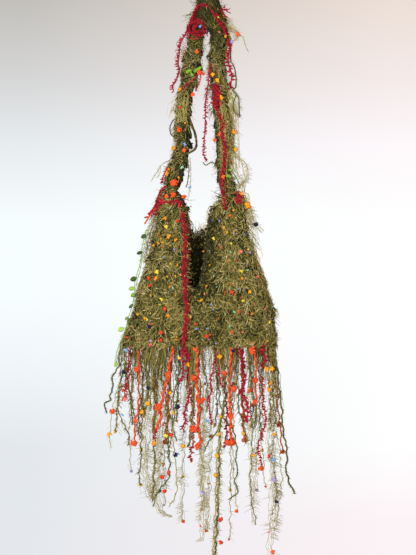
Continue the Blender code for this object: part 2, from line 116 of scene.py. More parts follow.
def add_node(
    tree: bpy.types.NodeTree, kind: str, settings: dict | None = None, stops: tuple = (), **links: object
) -> bpy.types.Node:
    """Adds a shader node with its settings, socket values and links.

    Args:
        tree: The node tree to add to.
        kind: The node's type name.
        settings: Attributes to set on the node.
        stops: A colour ramp's positions and hex colours, in order.
        **links: Input names, with spaces as underscores, and a value or the socket that feeds each.

    Returns:
        The new node.
    """
    node = tree.nodes.new(kind)
    for name, value in (settings or {}).items():
        setattr(node, name, value)
    for index, (position, colour) in enumerate(stops):
        elements = node.color_ramp.elements
        if index == len(elements):
            elements.new(position)
        elements[index].position = position
        elements[index].color = linear(colour)
    for name, value in links.items():
        socket = node.inputs[name.replace("_", " ")]
        if isinstance(value, bpy.types.NodeSocket):
            tree.links.new(value, socket)
        else:
            socket.default_value = value
    return node


def unit(vectors: np.ndarray) -> np.ndarray:
    """Scales each vector to length 1."""
    return vectors / np.maximum(np.linalg.norm(vectors, axis=-1, keepdims=True), 1e-12)


@dataclass(frozen=True)
class YarnFinish:
    """The finish of one yarn: dyed fibre, matt, with a little sheen where hairs catch the light.

    Each point's tone, from 0 to 1, picks a colour of the ramp, so that neighbouring hairs differ as dyed
    fibres do. Bands is true where each colour is a dye lot of its own and none blend.
    """

    name: str
    slot: str
    ramp: tuple[tuple[float, str], ...]
    roughness: float = 0.8
    sheen: float = 0.04
    bands: bool = False
    mottle_mm: float = 6.0
    mottle: float = 0.25
    bump_mm: float = 1.2
    bump: float = 0.25

    def material(self) -> bpy.types.Material:
        """Builds the finish's material, or returns it if it is there."""
        if self.name in bpy.data.materials:
            return bpy.data.materials[self.name]
        material = bpy.data.materials.new(self.name)
        material.use_nodes = True
        tree = material.node_tree
        tree.nodes.clear()
        place = add_node(tree, "ShaderNodeTexCoord").outputs["Object"]
        tone = add_node(tree, "ShaderNodeAttribute", {"attribute_name": "tone"})
        ramp = add_node(tree, "ShaderNodeValToRGB", stops=self.ramp, Fac=tone.outputs["Fac"])
        ramp.color_ramp.interpolation = "CONSTANT" if self.bands else "LINEAR"
        # yarn takes its dye unevenly, in patches a few millimetres wide
        patches = 1 / (self.mottle_mm * MM)
        mottle = add_node(tree, "ShaderNodeTexNoise", Vector=place, Scale=patches, Detail=2.0)
        shade = add_node(
            tree,
            "ShaderNodeMapRange",
            Value=mottle.outputs["Fac"],
            From_Min=0.3,
            From_Max=0.7,
            To_Min=1 - self.mottle,
            To_Max=1 + self.mottle,
        )
        scaling = {"operation": "SCALE"}
        shaded = add_node(tree, "ShaderNodeVectorMath", scaling, Scale=shade.outputs["Result"])
        tree.links.new(ramp.outputs["Color"], shaded.inputs[0])
        # the twist of real fibres is under half a millimetre and too fine to show, so it is drawn coarser
        twists = 1 / (self.bump_mm * MM)
        grain = add_node(tree, "ShaderNodeTexNoise", Vector=place, Scale=twists, Detail=1.0)
        relief = add_node(
            tree,
            "ShaderNodeBump",
            Height=grain.outputs["Fac"],
            Strength=self.bump,
            Distance=self.bump_mm * MM,
        )
        shader = add_node(
            tree,
            "ShaderNodeBsdfPrincipled",
            Base_Color=shaded.outputs["Vector"],
            Roughness=self.roughness,
            Sheen_Weight=self.sheen,
            Sheen_Roughness=0.5,
            Specular_IOR_Level=0.15,
            Normal=relief.outputs["Normal"],
        )
        output = add_node(tree, "ShaderNodeOutputMaterial")
        tree.links.new(shader.outputs["BSDF"], output.inputs["Surface"])
        return material


# Each dyed fleck's colour, and how often it is met among the flecks of the back and sides
FLECK_LOTS = {
    "lemon": ("efd23a", 14),
    "gold": ("eda616", 14),
    "amber": ("e8921e", 9),
    "orange": ("f9602a", 17),
    "red": ("e23c20", 11),
    "coral": ("f0776a", 8),
    "mint": ("8cc29c", 9),
    "sky": ("78a4dc", 8),
    "lilac": ("b19ad6", 5),
    "navy": ("231d40", 4),
    "leaf": ("7ea82c", 1),
}
# Eyelash yarn: soft hairs that reflect little, in olive tufts whose pale tips and dark gaps are partly
# painted light and shade.
# Real hairs are a few tenths of a millimetre thick, too fine to show, so they are drawn thicker and fewer.
SHAG = YarnFinish(
    "eyelash_shag",
    "olive_pile",
    (
        (0.0, "25230b"),
        (0.15, "49471a"),
        (0.35, "7b7636"),
        (0.55, "a39349"),
        (0.72, "c2ab62"),
        (0.88, "dcc78c"),
        (1.0, "f0e3b6"),
    ),
)
# Looped wool: thick dull yarn, rough with short fibres, that shows as dark olive lumps under the hair
LOOPS = YarnFinish(
    "looped_wool",
    "olive_pile",
    ((0.0, "1f200a"), (0.3, "44431a"), (0.6, "77703a"), (0.85, "8d7f45"), (1.0, "5f7434")),
    bump_mm=1.0,
    bump=0.6,
)
# Looped cloth: the olive ground that the pile grows from, painted nearly black as the deep shade under the
# pile, and bumpy
CLOTH = YarnFinish(
    "looped_cloth",
    "olive_pile",
    ((0.0, "26240f"), (1.0, "3a3716")),
    mottle_mm=9.0,
    mottle=0.7,
    bump_mm=4.0,
    bump=1.0,
)
# Ladder yarn: fine deep-dyed threads with leaflets, dark between them and a clear crimson on top
CRIMSON = YarnFinish(
    "crimson_ladder", "crimson_yarn", ((0.0, "4a0512"), (0.4, "8e0b20"), (0.75, "b81428"), (1.0, "d8333f"))
)
# Crocheted cotton: matt and bright orange. Its rust-red end is the rust thread's own colour, and paints shade
# in the creases between crocheted stitches
ORANGE = YarnFinish(
    "orange_cotton",
    "orange_yarn",
    ((0.0, "8f2a0e"), (0.4, "dd481a"), (0.75, "f8602a"), (1.0, "ff9350")),
    mottle_mm=3.0,
    bump=0.5,
)
# Chenille: short upright pile that swallows light, dark at its core and straw-coloured at its ends
OLIVE = YarnFinish(
    "olive_chenille", "olive_yarn", ((0.0, "38340f"), (0.35, "6f6529"), (0.7, "9c8e48"), (1.0, "d0c27e"))
)
# Boucle: two rough green plies, painted darker in the twist as shade and paler on the knobs as light
GREEN = YarnFinish(
    "green_boucle", "green_yarn", ((0.0, "20270e"), (0.4, "4c5426"), (0.75, "82813f"), (1.0, "bcb273"))
)
# Ladder lace: thin straw-coloured threads, even in tone, with the light showing between them.
# Real threads are under half a millimetre, too fine to show, so they are drawn about twice as thick.
LACE = YarnFinish(
    "pale_lace",
    "lace_yarn",
    ((0.0, "807638"), (0.4, "ab9e56"), (0.75, "cfbd7c"), (1.0, "e9dda8")),
    mottle=0.12,
)
# Cut cloth: flat little leaves in a clear green that stands out from the olive
LEAF = YarnFinish(
    "leaf_cut", "leaf_yarn", ((0.0, "26340f"), (0.3, "4c6a1e"), (0.75, "86ac38"), (1.0, "a9cc5a"))
)
# Dyed cotton scraps: matt dots of one plain colour each, in equal bands of the ramp
FLECK = YarnFinish(
    "dyed_flecks",
    "orange_yarn",
    tuple((index / len(FLECK_LOTS), colour) for index, (colour, _) in enumerate(FLECK_LOTS.values())),
    bands=True,
    mottle=0.12,
)


@dataclass
class Limits:
    """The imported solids' box with the little that yarn may stand proud of it, in metres."""

    proud: float = 9 * MM

    def __post_init__(self) -> None:
        """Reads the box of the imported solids."""
        low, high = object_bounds()
        self.low = np.array(low) - self.proud
        self.high = np.array(high) + self.proud

    def keep(self, points: np.ndarray) -> np.ndarray:
        """Draws points that are outside the limits back to them."""
        return np.clip(points, self.low, self.high)


def dress(name: str, mesh: bpy.types.Mesh, tones: np.ndarray, finish: YarnFinish) -> bpy.types.Object:
    """Makes a piece of a mesh, gives it its finish, and lets it ride on the bag's one body.

    Args:
        name: The piece's name.
        mesh: Its mesh, placed where it belongs.
        tones: Each point's tone.
        finish: Its finish.

    Returns:
        The piece.
    """
    mesh.shade_smooth()
    mesh.attributes.new("tone", "FLOAT", "POINT").data.foreach_set("value", tones.astype(np.float32))
    mesh.materials.append(finish.material())
    piece = bpy.data.objects.new(name, mesh)
    bpy.context.scene.collection.objects.link(piece)
    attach(piece, "root")
    log.info("%s: %d triangles", name, len(mesh.loops) - 2 * len(mesh.polygons))
    return piece


class Strands:
    """Gathers many thin closed tubes and turns them into one mesh."""

    def __init__(self, name: str, finish: YarnFinish) -> None:
        """Starts an empty piece with a name and a finish."""
        self.name = name
        self.finish = finish
        self.points: list[np.ndarray] = []
        self.tones: list[np.ndarray] = []
        self.loops: list[np.ndarray] = []
        self.sizes: list[np.ndarray] = []
        self.count = 0

    def add(
        self,
        centres: np.ndarray,
        widths: np.ndarray,
        depths: np.ndarray,
        tones: np.ndarray,
        sides: int = 3,
        hint: np.ndarray = FRONT,
    ) -> None:
        """Adds a batch of tubes that have the same number of rings.

        Args:
            centres: Ring centres in metres, of shape (tubes, rings, 3).
            widths: Half widths in metres, of shape (tubes, rings) or one that spreads to it.
            depths: Half depths, likewise.
            tones: One tone for each tube, or one for each ring.
            sides: Sides of each tube.
            hint: The direction, or one for each tube, that the tubes' flat sides face.
        """
        tubes, rings = centres.shape[:2]
        if not tubes:
            return
        tangents = unit(np.gradient(centres, axis=1))
        facing = np.broadcast_to(np.atleast_2d(hint)[:, None, :], centres.shape)
        across = np.cross(tangents, facing)
        weak = np.linalg.norm(across, axis=-1, keepdims=True) < 1e-3
        across = unit(np.where(weak, np.cross(tangents, np.array((0.3, 0.2, 0.9))), across))
        outward = np.cross(across, tangents)
        angles = TURN * np.arange(sides) / sides
        widths = np.broadcast_to(widths, (tubes, rings))[:, :, None, None]
        depths = np.broadcast_to(depths, (tubes, rings))[:, :, None, None]
        ring = (
            centres[:, :, None, :]
            + across[:, :, None, :] * widths * np.cos(angles)[None, None, :, None]
            + outward[:, :, None, :] * depths * np.sin(angles)[None, None, :, None]
        )
        here = self.count + np.arange(tubes * rings * sides).reshape(tubes, rings, sides)
        following = np.roll(here, -1, axis=2)
        walls = np.stack([here[:, :-1], following[:, :-1], following[:, 1:], here[:, 1:]], axis=-1)
        self.points.append(ring.reshape(-1, 3))
        spread = tones if np.ndim(tones) == 2 else np.asarray(tones)[:, None]
        self.tones.append(np.broadcast_to(spread[..., None], (tubes, rings, sides)).reshape(-1))
        self.loops += [walls.reshape(-1), here[:, 0, ::-1].reshape(-1), here[:, -1].reshape(-1)]
        self.sizes += [np.full(walls.size // 4, 4), np.full(tubes, sides), np.full(tubes, sides)]
        self.count += ring.size // 3

    def build(self, limits: Limits, nodes: tuple[str, ...] = ()) -> None:
        """Makes the mesh and its piece.

        Args:
            limits: The box that its points are kept in.
            nodes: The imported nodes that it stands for.
        """
        if not self.count:
            return
        points = limits.keep(np.concatenate(self.points))
        loops = np.concatenate(self.loops).astype(np.int32)
        sizes = np.concatenate(self.sizes).astype(np.int32)
        mesh = bpy.data.meshes.new(self.name)
        mesh.vertices.add(len(points))
        mesh.vertices.foreach_set("co", points.astype(np.float32).ravel())
        mesh.loops.add(len(loops))
        mesh.loops.foreach_set("vertex_index", loops)
        mesh.polygons.add(len(sizes))
        mesh.polygons.foreach_set("loop_start", np.concatenate([[0], np.cumsum(sizes)[:-1]]).astype(np.int32))
        mesh.update(calc_edges=True)
        piece = dress(self.name, mesh, np.clip(np.concatenate(self.tones), 0, 1), self.finish)
        if nodes:
            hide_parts(*nodes)


def run_along(points: np.ndarray) -> np.ndarray:
    """The length from the first point to each."""
    return np.concatenate([[0], np.cumsum(np.linalg.norm(np.diff(points, axis=0), axis=1))])


def resample(points: np.ndarray, where: np.ndarray) -> np.ndarray:
    """The places on a polyline at the given lengths along it."""
    run = run_along(points)
    return np.stack([np.interp(where, run, points[:, k]) for k in range(3)], axis=1)


def curve_through(places: list | tuple) -> np.ndarray:
    """Draws a smooth curve.

    Args:
        places: The x, y and z that it passes through, in millimetres.

    Returns:
        Points an even step apart on the curve, in millimetres.
    """
    points = np.array(places, float)
    padded = np.concatenate([[2 * points[0] - points[1]], points, [2 * points[-1] - points[-2]]])
    t = np.linspace(0, 1, 16, endpoint=False)[:, None]
    spans = []
    for a, b, c, d in zip(padded, padded[1:], padded[2:], padded[3:]):
        spans.append(
            0.5 * (2 * b + (c - a) * t + (2 * a - 5 * b + 4 * c - d) * t**2 + (3 * b - a - 3 * c + d) * t**3)
        )
    fine = np.concatenate([*spans, points[-1:]])
    whole = run_along(fine)[-1]
    return resample(fine, np.linspace(0, whole, max(int(whole / STEP), 2) + 1))


def across_of(route: np.ndarray) -> np.ndarray:
    """The sideways direction, seen from the front, at each point of a route."""
    return unit(np.cross(unit(np.gradient(route, axis=0)), FRONT))


@dataclass
class Surface:
    """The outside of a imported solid, from which pile can grow."""

    node: bpy.types.Object
    middle_x: float = 0.0

    def __post_init__(self) -> None:
        """Reads the node's triangles and notes those that look away from its middle."""
        mesh = self.node.data
        mesh.calc_loop_triangles()
        points = np.array([vert.co for vert in mesh.vertices])
        triangles = np.array([triangle.vertices for triangle in mesh.loop_triangles])
        self.corners = points[triangles]
        cross = np.cross(self.corners[:, 1] - self.corners[:, 0], self.corners[:, 2] - self.corners[:, 0])
        self.areas = np.linalg.norm(cross, axis=1) / 2
        self.normals = unit(cross)
        self.centres = self.corners.mean(axis=1)
        sideways = 0.3 * self.normals[:, 0] * (self.centres[:, 0] - self.middle_x)
        self.outside = self.normals[:, 1] * self.centres[:, 1] + sideways > 0
        self.tree = BVHTree.FromPolygons(points.tolist(), triangles.tolist())

    def sample(
        self, rng: np.random.Generator, count: int, chosen: np.ndarray
    ) -> tuple[np.ndarray, np.ndarray]:
        """Picks points evenly over the chosen triangles.

        Args:
            rng: The source of random numbers.
            count: How many points.
            chosen: A mask over the triangles.

        Returns:
            The points and their normals.
        """
        weights = self.areas * chosen
        picked = rng.choice(len(weights), size=count, p=weights / weights.sum())
        u, v = rng.random(count), rng.random(count)
        flip = u + v > 1
        u, v = np.where(flip, 1 - u, u), np.where(flip, 1 - v, v)
        a, b, c = (self.corners[picked, k] for k in range(3))
        return a + (b - a) * u[:, None] + (c - a) * v[:, None], self.normals[picked]

    def distance(self, points: np.ndarray) -> np.ndarray:
        """How far each point is from the surface."""
        return np.array([self.tree.find_nearest(Vector(point))[3] for point in points])

    def front_at(self, x: float, z: float) -> float | None:
        """The y of the frontmost surface at a place seen from the front, or None."""
        hit = self.tree.ray_cast(Vector((x, -0.3, z)), Vector((0, 1, 0)))[0]
        return None if hit is None else hit.y


@dataclass(frozen=True)
class Coat:
    """One layer of pile, in millimetres: how dense it is and how its hairs grow.

    Density is in hairs to the square metre, rise is how high they arch, stray is how far they turn from the
    swirl in radians, and overhang is how far they may reach past the cloth.
    """

    density: float
    length: float
    half: float
    rise: float
    stray: float
    rings: int = 4
    low_tone: float = 0.0
    overhang: float = 5.0


@dataclass
class Pile:
    """Grows laid hair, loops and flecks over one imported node."""

    surface: Surface
    rng: np.random.Generator
    # x and z of the mouth's rim behind, below which the hair inside is painted darker as shade
    rim: tuple = ((-60, -35, -12, 10, 18), (-430, -480, -476, -458, -435))
    # x and z of the top of the V in front, how far it leans to the left, and its depth, round which the hair
    # is painted darker as shade
    notch: tuple[float, ...] = (-9, -460, 6, 130)
    # z down the wound top of the strap, and how far the hair there is painted darker as shade
    top: tuple = ((-120, -76, -24, -4), (1.0, 0.34, 0.14, 0.55))
    # x of the mouth's middle and half its width, within which hair stays close to the cloth
    mouth: tuple[float, float] = (-12.0, 34.0)
    # z of the strap's foot, and of the place where the mouth begins
    foot_z: float = -400.0
    mouth_z: float = -450.0

    @staticmethod
    def swirl(points: np.ndarray) -> np.ndarray:
        """A smooth angle that turns the way in which neighbouring hairs lie, in radians."""
        x, y, z = (points / MM).T
        first = np.sin(x / 9.1 + 1.4 * np.sin(z / 14.3) + y / 17.0)
        second = np.sin(z / 10.7 + 1.7 * np.sin(x / 15.1 + 0.8))
        return 0.75 * first + 0.65 * second

    def lightness(self, points: np.ndarray, inner: bool = False) -> np.ndarray:
        """Finds the painted shade on the hair: darker inside below the rim, on the edges folded into the
        mouth, and at the top.

        Args:
            points: The hairs' roots, in metres.
            inner: Whether they are inside the bag.

        Returns:
            A factor for each hair, up to 1.
        """
        x, y, z = (points / MM).T
        if inner:
            # painted shade: a darker band inside the bag below the mouth's rim
            return np.interp(np.interp(x, *self.rim) - z, (6, 20, 50, 100), (1.0, 0.85, 0.85, 1.0))
        # painted shade: darker hair by the mouth's V in front, and at the strap's top
        notch_x, notch_z, lean, depth = self.notch
        along = np.clip((notch_z - z) / depth, 0, 1)
        gap = np.hypot(x - (notch_x - lean * along), z - (notch_z - depth * along))
        mouth = np.where(y < 0, 1 - (0.66 - 0.2 * along) * np.clip(1 - (gap - 15) / 17, 0, 1), 1.0)
        return mouth * np.interp(z, *self.top)

    @staticmethod
    def clumps(points: np.ndarray) -> np.ndarray:
        """Painted light and shade: a smooth value from -1 to 1 that varies over a centimetre or two, as lit
        and shaded tufts do.
        """
        x, y, z = (points / MM).T
        first = np.sin(x / 5.3 + 1.7 * np.sin(z / 9.3))
        second = np.sin(z / 5.9 + 1.9 * np.sin(x / 7.9 + 1.3))
        third = np.sin((x + z) / 13.7 + y / 11.0)
        return (first + second + third) / 3

    def lay(self, piece: Strands, coat: Coat, chosen: np.ndarray, inner: bool = False) -> None:
        """Lays a coat of hair on the chosen part of the surface.

        Args:
            piece: The piece that the hairs join.
            coat: How they grow.
            chosen: A mask over the surface's triangles.
            inner: Whether it is the inside of the bag.
        """
        rng = self.rng
        count = int(coat.density * (self.surface.areas * chosen).sum())
        roots, normals = self.surface.sample(rng, count, chosen)
        level = unit(np.cross(UP, normals) + 1e-6)
        rising = np.cross(normals, level)
        angle = -math.pi / 2 + self.swirl(roots) + coat.stray * rng.normal(size=count)
        along = level * np.cos(angle)[:, None] + rising * np.sin(angle)[:, None]
        curl = np.cross(normals, along) * rng.normal(size=(count, 1)).clip(-1.2, 1.2) * 0.7
        # painted shade: darker hair inside the bag, by the mouth and at the strap's top
        painted_shade = self.lightness(roots, inner)
        length = coat.length * MM * rng.uniform(0.6, 1.35, count)
        # hair is short where the cloth folds into the mouth, and where its tips would leave the bag's outline
        folded = (painted_shade < 0.95) & (roots[:, 2] < self.foot_z * MM)
        length = np.where(folded, 0.55, 1.0) * length
        rise = coat.rise * MM * rng.uniform(0.5, 1.5, count)
        tips = roots + along * length[:, None] + normals * (0.4 * rise)[:, None]
        over = self.surface.distance(tips)
        middle, half_width = self.mouth
        near_mouth = np.abs(roots[:, 0] - middle * MM) < half_width * MM
        beside = near_mouth & (roots[:, 2] < self.mouth_z * MM)
        reach = np.where(beside, 0.35, 1.0) * coat.overhang * MM
        length = length * np.clip(reach / np.maximum(over, 1e-6), np.where(near_mouth, 0.2, 0.4), 1.0)
        t = np.linspace(0, 1, coat.rings)[None, :, None]
        arch = 2.6 * t * (1 - t) + 0.45 * t
        centres = (
            roots[:, None, :]
            + length[:, None, None] * (along[:, None, :] * t + curl[:, None, :] * t * t)
            + normals[:, None, :] * rise[:, None, None] * arch
        )
        half = coat.half * MM * rng.uniform(0.7, 1.3, (count, 1)) * np.linspace(1, 0.35, coat.rings)[None, :]
        bright = rng.random(count) < 0.34
        tone = np.where(bright, rng.uniform(0.6, 1.0, count), rng.uniform(0.05, 0.6, count))
        # painted light and shade, in patches the size of tufts
        tone = np.clip(tone + 0.18 * self.clumps(roots), 0, 1)
        tone = (coat.low_tone + (1 - coat.low_tone) * tone) * painted_shade
        # painted shade and light: each hair is darker at its root, deep in the pile, and lighter at its tip
        shaded = tone[:, None] * np.linspace(0.5, 1.15, coat.rings)[None, :]
        piece.add(centres, half, half * 0.7, shaded, hint=normals)

    def loops(self, piece: Strands, density: float, chosen: np.ndarray) -> None:
        """Stands arched loops of thick yarn on the cloth, as its stitches show between the hairs.

        Args:
            piece: The piece that the loops join.
            density: How many a square metre has.
            chosen: A mask over the surface's triangles.
        """
        rng = self.rng
        count = int(density * (self.surface.areas * chosen).sum())
        roots, normals = self.surface.sample(rng, count, chosen)
        lean = rng.normal(size=(count, 3))
        along = unit(lean - normals * np.sum(lean * normals, axis=1, keepdims=True))
        length = rng.uniform(7, 13, count)[:, None, None] * MM
        rise = rng.uniform(2.0, 4.5, count)[:, None, None] * MM
        t = np.array((-0.5, -0.2, 0.2, 0.5))[None, :, None]
        arch = np.array((-0.3, 0.85, 1.0, -0.2))[None, :, None]
        centres = roots[:, None, :] + along[:, None, :] * t * length + normals[:, None, :] * arch * rise
        half = rng.uniform(1.0, 1.6, count)[:, None] * MM * np.array((0.8, 1.0, 1.0, 0.8))[None, :]
        # painted light and shade: the tufts' light and shade, and the painted shade by the mouth and at the
        # top
        tones = (0.4 + 0.3 * self.clumps(roots) + 0.25 * rng.normal(size=count)) * self.lightness(roots)
        piece.add(centres, half, half, tones, hint=normals)

    def scatter(self, trimmer: Trimmer, count: int, chosen: np.ndarray) -> None:
        """Ties small dyed flecks into the pile.

        Args:
            trimmer: Makes the flecks.
            count: How many there are.
            chosen: A mask over the surface's triangles.
        """
        roots, normals = self.surface.sample(self.rng, count, chosen)
        shares = np.array([share for _, share in FLECK_LOTS.values()], float)
        picks = self.rng.choice(list(FLECK_LOTS), size=count, p=shares / shares.sum())
        for root, normal, colour in zip(roots, normals, picks):
            place = root + normal * self.rng.uniform(4, 7) * MM
            trimmer.fleck(place, normal, self.rng.uniform(3.0, 6.5) * MM, str(colour))


class Trimmer:
    """Makes flecks, blooms and yarns, gathered into one piece for each finish.

    Each yarn's method takes its route in metres, the scale of its thickness, and the side that its leaflets
    are on: -1, 1, or 0 for both. Yarns without leaflets take the side too, so that all are called alike.
    """

    def __init__(self, place: str, rng: np.random.Generator) -> None:
        """Starts the pieces of one place, such as the fringe."""
        self.place = place
        self.rng = rng
        self.pieces: dict[str, Strands] = {}
        self.makers = {
            Kind.HAIRY: self.hairy,
            Kind.BOUCLE: self.boucle,
            Kind.TAPE: self.tape,
            Kind.VINE: self.vine,
            Kind.LACE: self.lace,
            Kind.RUST: self.rust,
            Kind.PEACH: self.peach,
            Kind.GOLD: self.gold,
            Kind.OLIVE_CORD: self.olive_cord,
        }

    def piece(self, finish: YarnFinish) -> Strands:
        """The piece that takes this finish."""
        if finish.name not in self.pieces:
            self.pieces[finish.name] = Strands(f"{self.place}_{finish.name}", finish)
        return self.pieces[finish.name]

    def build(self, limits: Limits, nodes: tuple[str, ...] = ()) -> None:
        """Makes the pieces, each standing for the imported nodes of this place."""
        for strands in self.pieces.values():
            strands.build(limits, nodes)

    def fleck(self, centre: np.ndarray, facing: np.ndarray, size: float, colour: str) -> None:
        """Makes a dyed fleck: a crocheted bloom if it is large, petals if middling, and a cut scrap if small.

        Args:
            centre: Its middle.
            facing: The way that it faces.
            size: Its diameter in metres.
            colour: Its colour's name.
        """
        facing = unit(np.asarray(facing, float) + self.rng.normal(size=3) * 0.3)
        if size > 11.5 * MM and colour in ("orange", "red"):
            self.rosette(centre, facing, size / 2)
        elif colour == "leaf":
            self.petals(centre, facing, size * 0.6, colour, 2)
        elif size > 7.5 * MM:
            self.petals(centre, facing, size / 2, colour, 5)
        else:
            self.petals(centre, facing, size / 2, colour, 3 if size > 5 * MM else 2)

    def petals(self, centre: np.ndarray, facing: np.ndarray, radius: float, colour: str, count: int) -> None:
        """Fans plump petals round a place.

        Args:
            centre: The middle of the fan.
            facing: The way that it faces.
            radius: The petals' reach in metres.
            colour: Their colour's name.
            count: How many there are.
        """
        rng = self.rng
        side = unit(np.cross(facing, (0.1, 0.2, 1.0)))
        up = np.cross(side, facing)
        turns = TURN * (np.arange(count) + rng.random() + 0.3 * rng.normal(size=count)) / count
        out = side[None] * np.cos(turns)[:, None] + up[None] * np.sin(turns)[:, None]
        reach = radius * rng.uniform(0.7, 1.15, count)[:, None, None]
        t = np.array((-0.2, 0.15, 0.75, 1.0))[None, :, None]
        rise = np.array((-0.1, 0.35, 0.3, -0.05))[None, :, None] * radius
        centres = centre + out[:, None, :] * t * reach + facing * rise
        widths = np.array((0.2, 0.5, 0.46, 0.16))[None, :] * radius * rng.uniform(0.8, 1.1, (count, 1))
        tone = (list(FLECK_LOTS).index(colour) + 0.5) / len(FLECK_LOTS)
        self.piece(FLECK).add(centres, widths, widths * 0.55, np.full(count, tone), sides=4, hint=facing)

    def rosette(self, centre: np.ndarray, facing: np.ndarray, radius: float) -> None:
        """Crochets a small domed bloom: cotton wound out from its middle, with a scalloped edge.

        Args:
            centre: Its middle.
            facing: The way that it faces.
            radius: Its size from the middle to the edge, in metres.
        """
        side = unit(np.cross(facing, (0.1, 0.2, 1.0)))
        up = np.cross(side, facing)
        t = np.linspace(0, 1, 44)
        angle = TURN * 2.4 * t + self.rng.random() * 6
        scallop = 1 + 0.22 * np.sin(angle * 4.6) * t
        reach = radius * 0.85 * t**0.8 * scallop
        height = radius * (0.6 * (1 - t**2) + 0.22 * np.sin(angle * 4.6 + 1))
        path = (
            centre
            + side * (np.cos(angle) * reach)[:, None]
            + up * (np.sin(angle) * reach)[:, None]
            + facing * height[:, None]
        )
        half = np.full(len(t), radius * 0.2)
        # painted light and shade: the raised scallops are lighter and the dips between them darker
        tones = 0.45 + 0.3 * np.sin(angle * 4.6 + 1) + 0.1 * self.rng.normal(size=len(t))
        self.piece(ORANGE).add(path[None], half[None], half[None], tones[None], sides=4, hint=facing)

    def core(self, finish: YarnFinish, route: np.ndarray, half: float, tone: float, sides: int = 5) -> None:
        """Lays a yarn's own thread, a little uneven.

        Args:
            finish: The thread's finish.
            route: The yarn's points.
            half: Its half width in metres.
            tone: Its middle tone.
            sides: Sides of its tube.
        """
        uneven = half * np.clip(1 + 0.16 * self.rng.normal(size=len(route)), 0.6, 1.5)
        uneven[-1] *= 0.5
        tones = tone + 0.13 * self.rng.normal(size=len(route))
        self.piece(finish).add(route[None], uneven[None], uneven[None], tones[None], sides=sides)

    def fuzz(
        self,
        finish: YarnFinish,
        route: np.ndarray,
        per_metre: float,
        length: float,
        half: float,
        droop: float,
        tone: tuple[float, float],
    ) -> None:
        """Sets hairs round a yarn, to all sides.

        Args:
            finish: The hairs' finish.
            route: The yarn's points.
            per_metre: How many hairs each metre has.
            length: Their middle length in metres.
            half: Their half width at the root.
            droop: How far they hang down.
            tone: The lowest and highest tone.
        """
        rng = self.rng
        whole = run_along(route)[-1]
        count = int(per_metre * whole)
        where = np.sort(rng.random(count)) * whole
        roots = resample(route, where)
        tangents = unit(resample(route, np.minimum(where + 2 * MM, whole)) - resample(route, where - 2 * MM))
        out = unit(np.cross(tangents, rng.normal(size=(count, 3))) + tangents * 0.25)
        bend = rng.normal(size=(count, 3)) * 0.35 + DOWN * droop
        lengths = (length * rng.uniform(0.5, 1.5, count))[:, None, None]
        t = np.array((0.0, 0.5, 1.0))[None, :, None]
        centres = roots[:, None, :] + lengths * (out[:, None, :] * t + bend[:, None, :] * t * t * 0.5)
        taper = np.array((1.0, 0.75, 0.4))[None, :] * half
        self.piece(finish).add(centres, taper, taper * 0.75, rng.uniform(*tone, count))

    def leaflets(self, route: np.ndarray, spacing: float, size: float, tone: float, side: int = 0) -> None:
        """Sets small flat crimson leaves along a yarn.

        Args:
            route: The yarn's points.
            spacing: The distance between leaves.
            size: Their length in metres.
            tone: Their middle tone.
            side: The side that they are on, or 0 for both.
        """
        rng = self.rng
        whole = run_along(route)[-1]
        where = np.arange(spacing, whole, spacing)
        count = len(where)
        roots = resample(route, where + rng.normal(size=count) * spacing * 0.3)
        sides = np.full(count, float(side)) if side else np.where(rng.random(count) < 0.5, -1.0, 1.0)
        out = np.stack([sides, np.zeros(count), np.full(count, -0.35)], axis=1)
        out = unit(out + rng.normal(size=(count, 3)) * 0.4)
        t = np.array((0.0, 0.35, 0.75, 1.0))[None, :, None]
        lengths = (size * rng.uniform(0.6, 1.3, count))[:, None, None]
        centres = roots[:, None, :] + out[:, None, :] * t * lengths
        widths = np.array((0.06, 0.2, 0.18, 0.04))[None, :] * size
        tones = tone + rng.normal(size=count) * 0.18
        self.piece(CRIMSON).add(centres, widths, widths * 0.4, tones, sides=4)

    def ladder(self, route: np.ndarray, side: int, reach: float) -> None:
        """Runs a thin second thread beside a crimson yarn, joined to it by rungs.

        Args:
            route: The yarn's points.
            side: The side that its leaflets are on, opposite the thread.
            reach: How far off the thread runs.
        """
        across = across_of(route) * -side
        part = slice(len(route) // 6, len(route) * 3 // 5)
        bulge = reach * (1 + 0.25 * np.sin(np.arange(len(route)) * 1.1))[:, None]
        outer = (route + across * bulge)[part]
        self.core(CRIMSON, outer, 0.5 * MM, 0.5, sides=3)
        inner = route[part][::2]
        rungs = np.stack([inner, (inner + outer[::2]) / 2 + DOWN * MM, outer[::2]], axis=1)
        slim = np.array((0.5, 0.4, 0.5))[None, :] * MM
        self.piece(CRIMSON).add(rungs, slim, slim, np.full(len(rungs), 0.5))

    def ply(
        self, finish: YarnFinish, route: np.ndarray, count: int, half: float, off: float, pitch: float
    ) -> None:
        """Winds plies round each other along the route.

        Args:
            finish: The plies' finish.
            route: The yarn's points.
            count: How many plies there are.
            half: Their half width in metres.
            off: How far their middles lie from the yarn's.
            pitch: The length of one turn.
        """
        whole = run_along(route)[-1]
        where = np.linspace(0, whole, int(whole / (pitch / 5)) + 2)
        fine = resample(route, where)
        across = across_of(fine)
        for index in range(count):
            angle = (TURN * (where / pitch + index / count))[:, None]
            path = fine + across * np.cos(angle) * off + FRONT * np.sin(angle) * off
            self.core(finish, path, half, 0.45 + 0.2 * (index - (count - 1) / 2), sides=4)

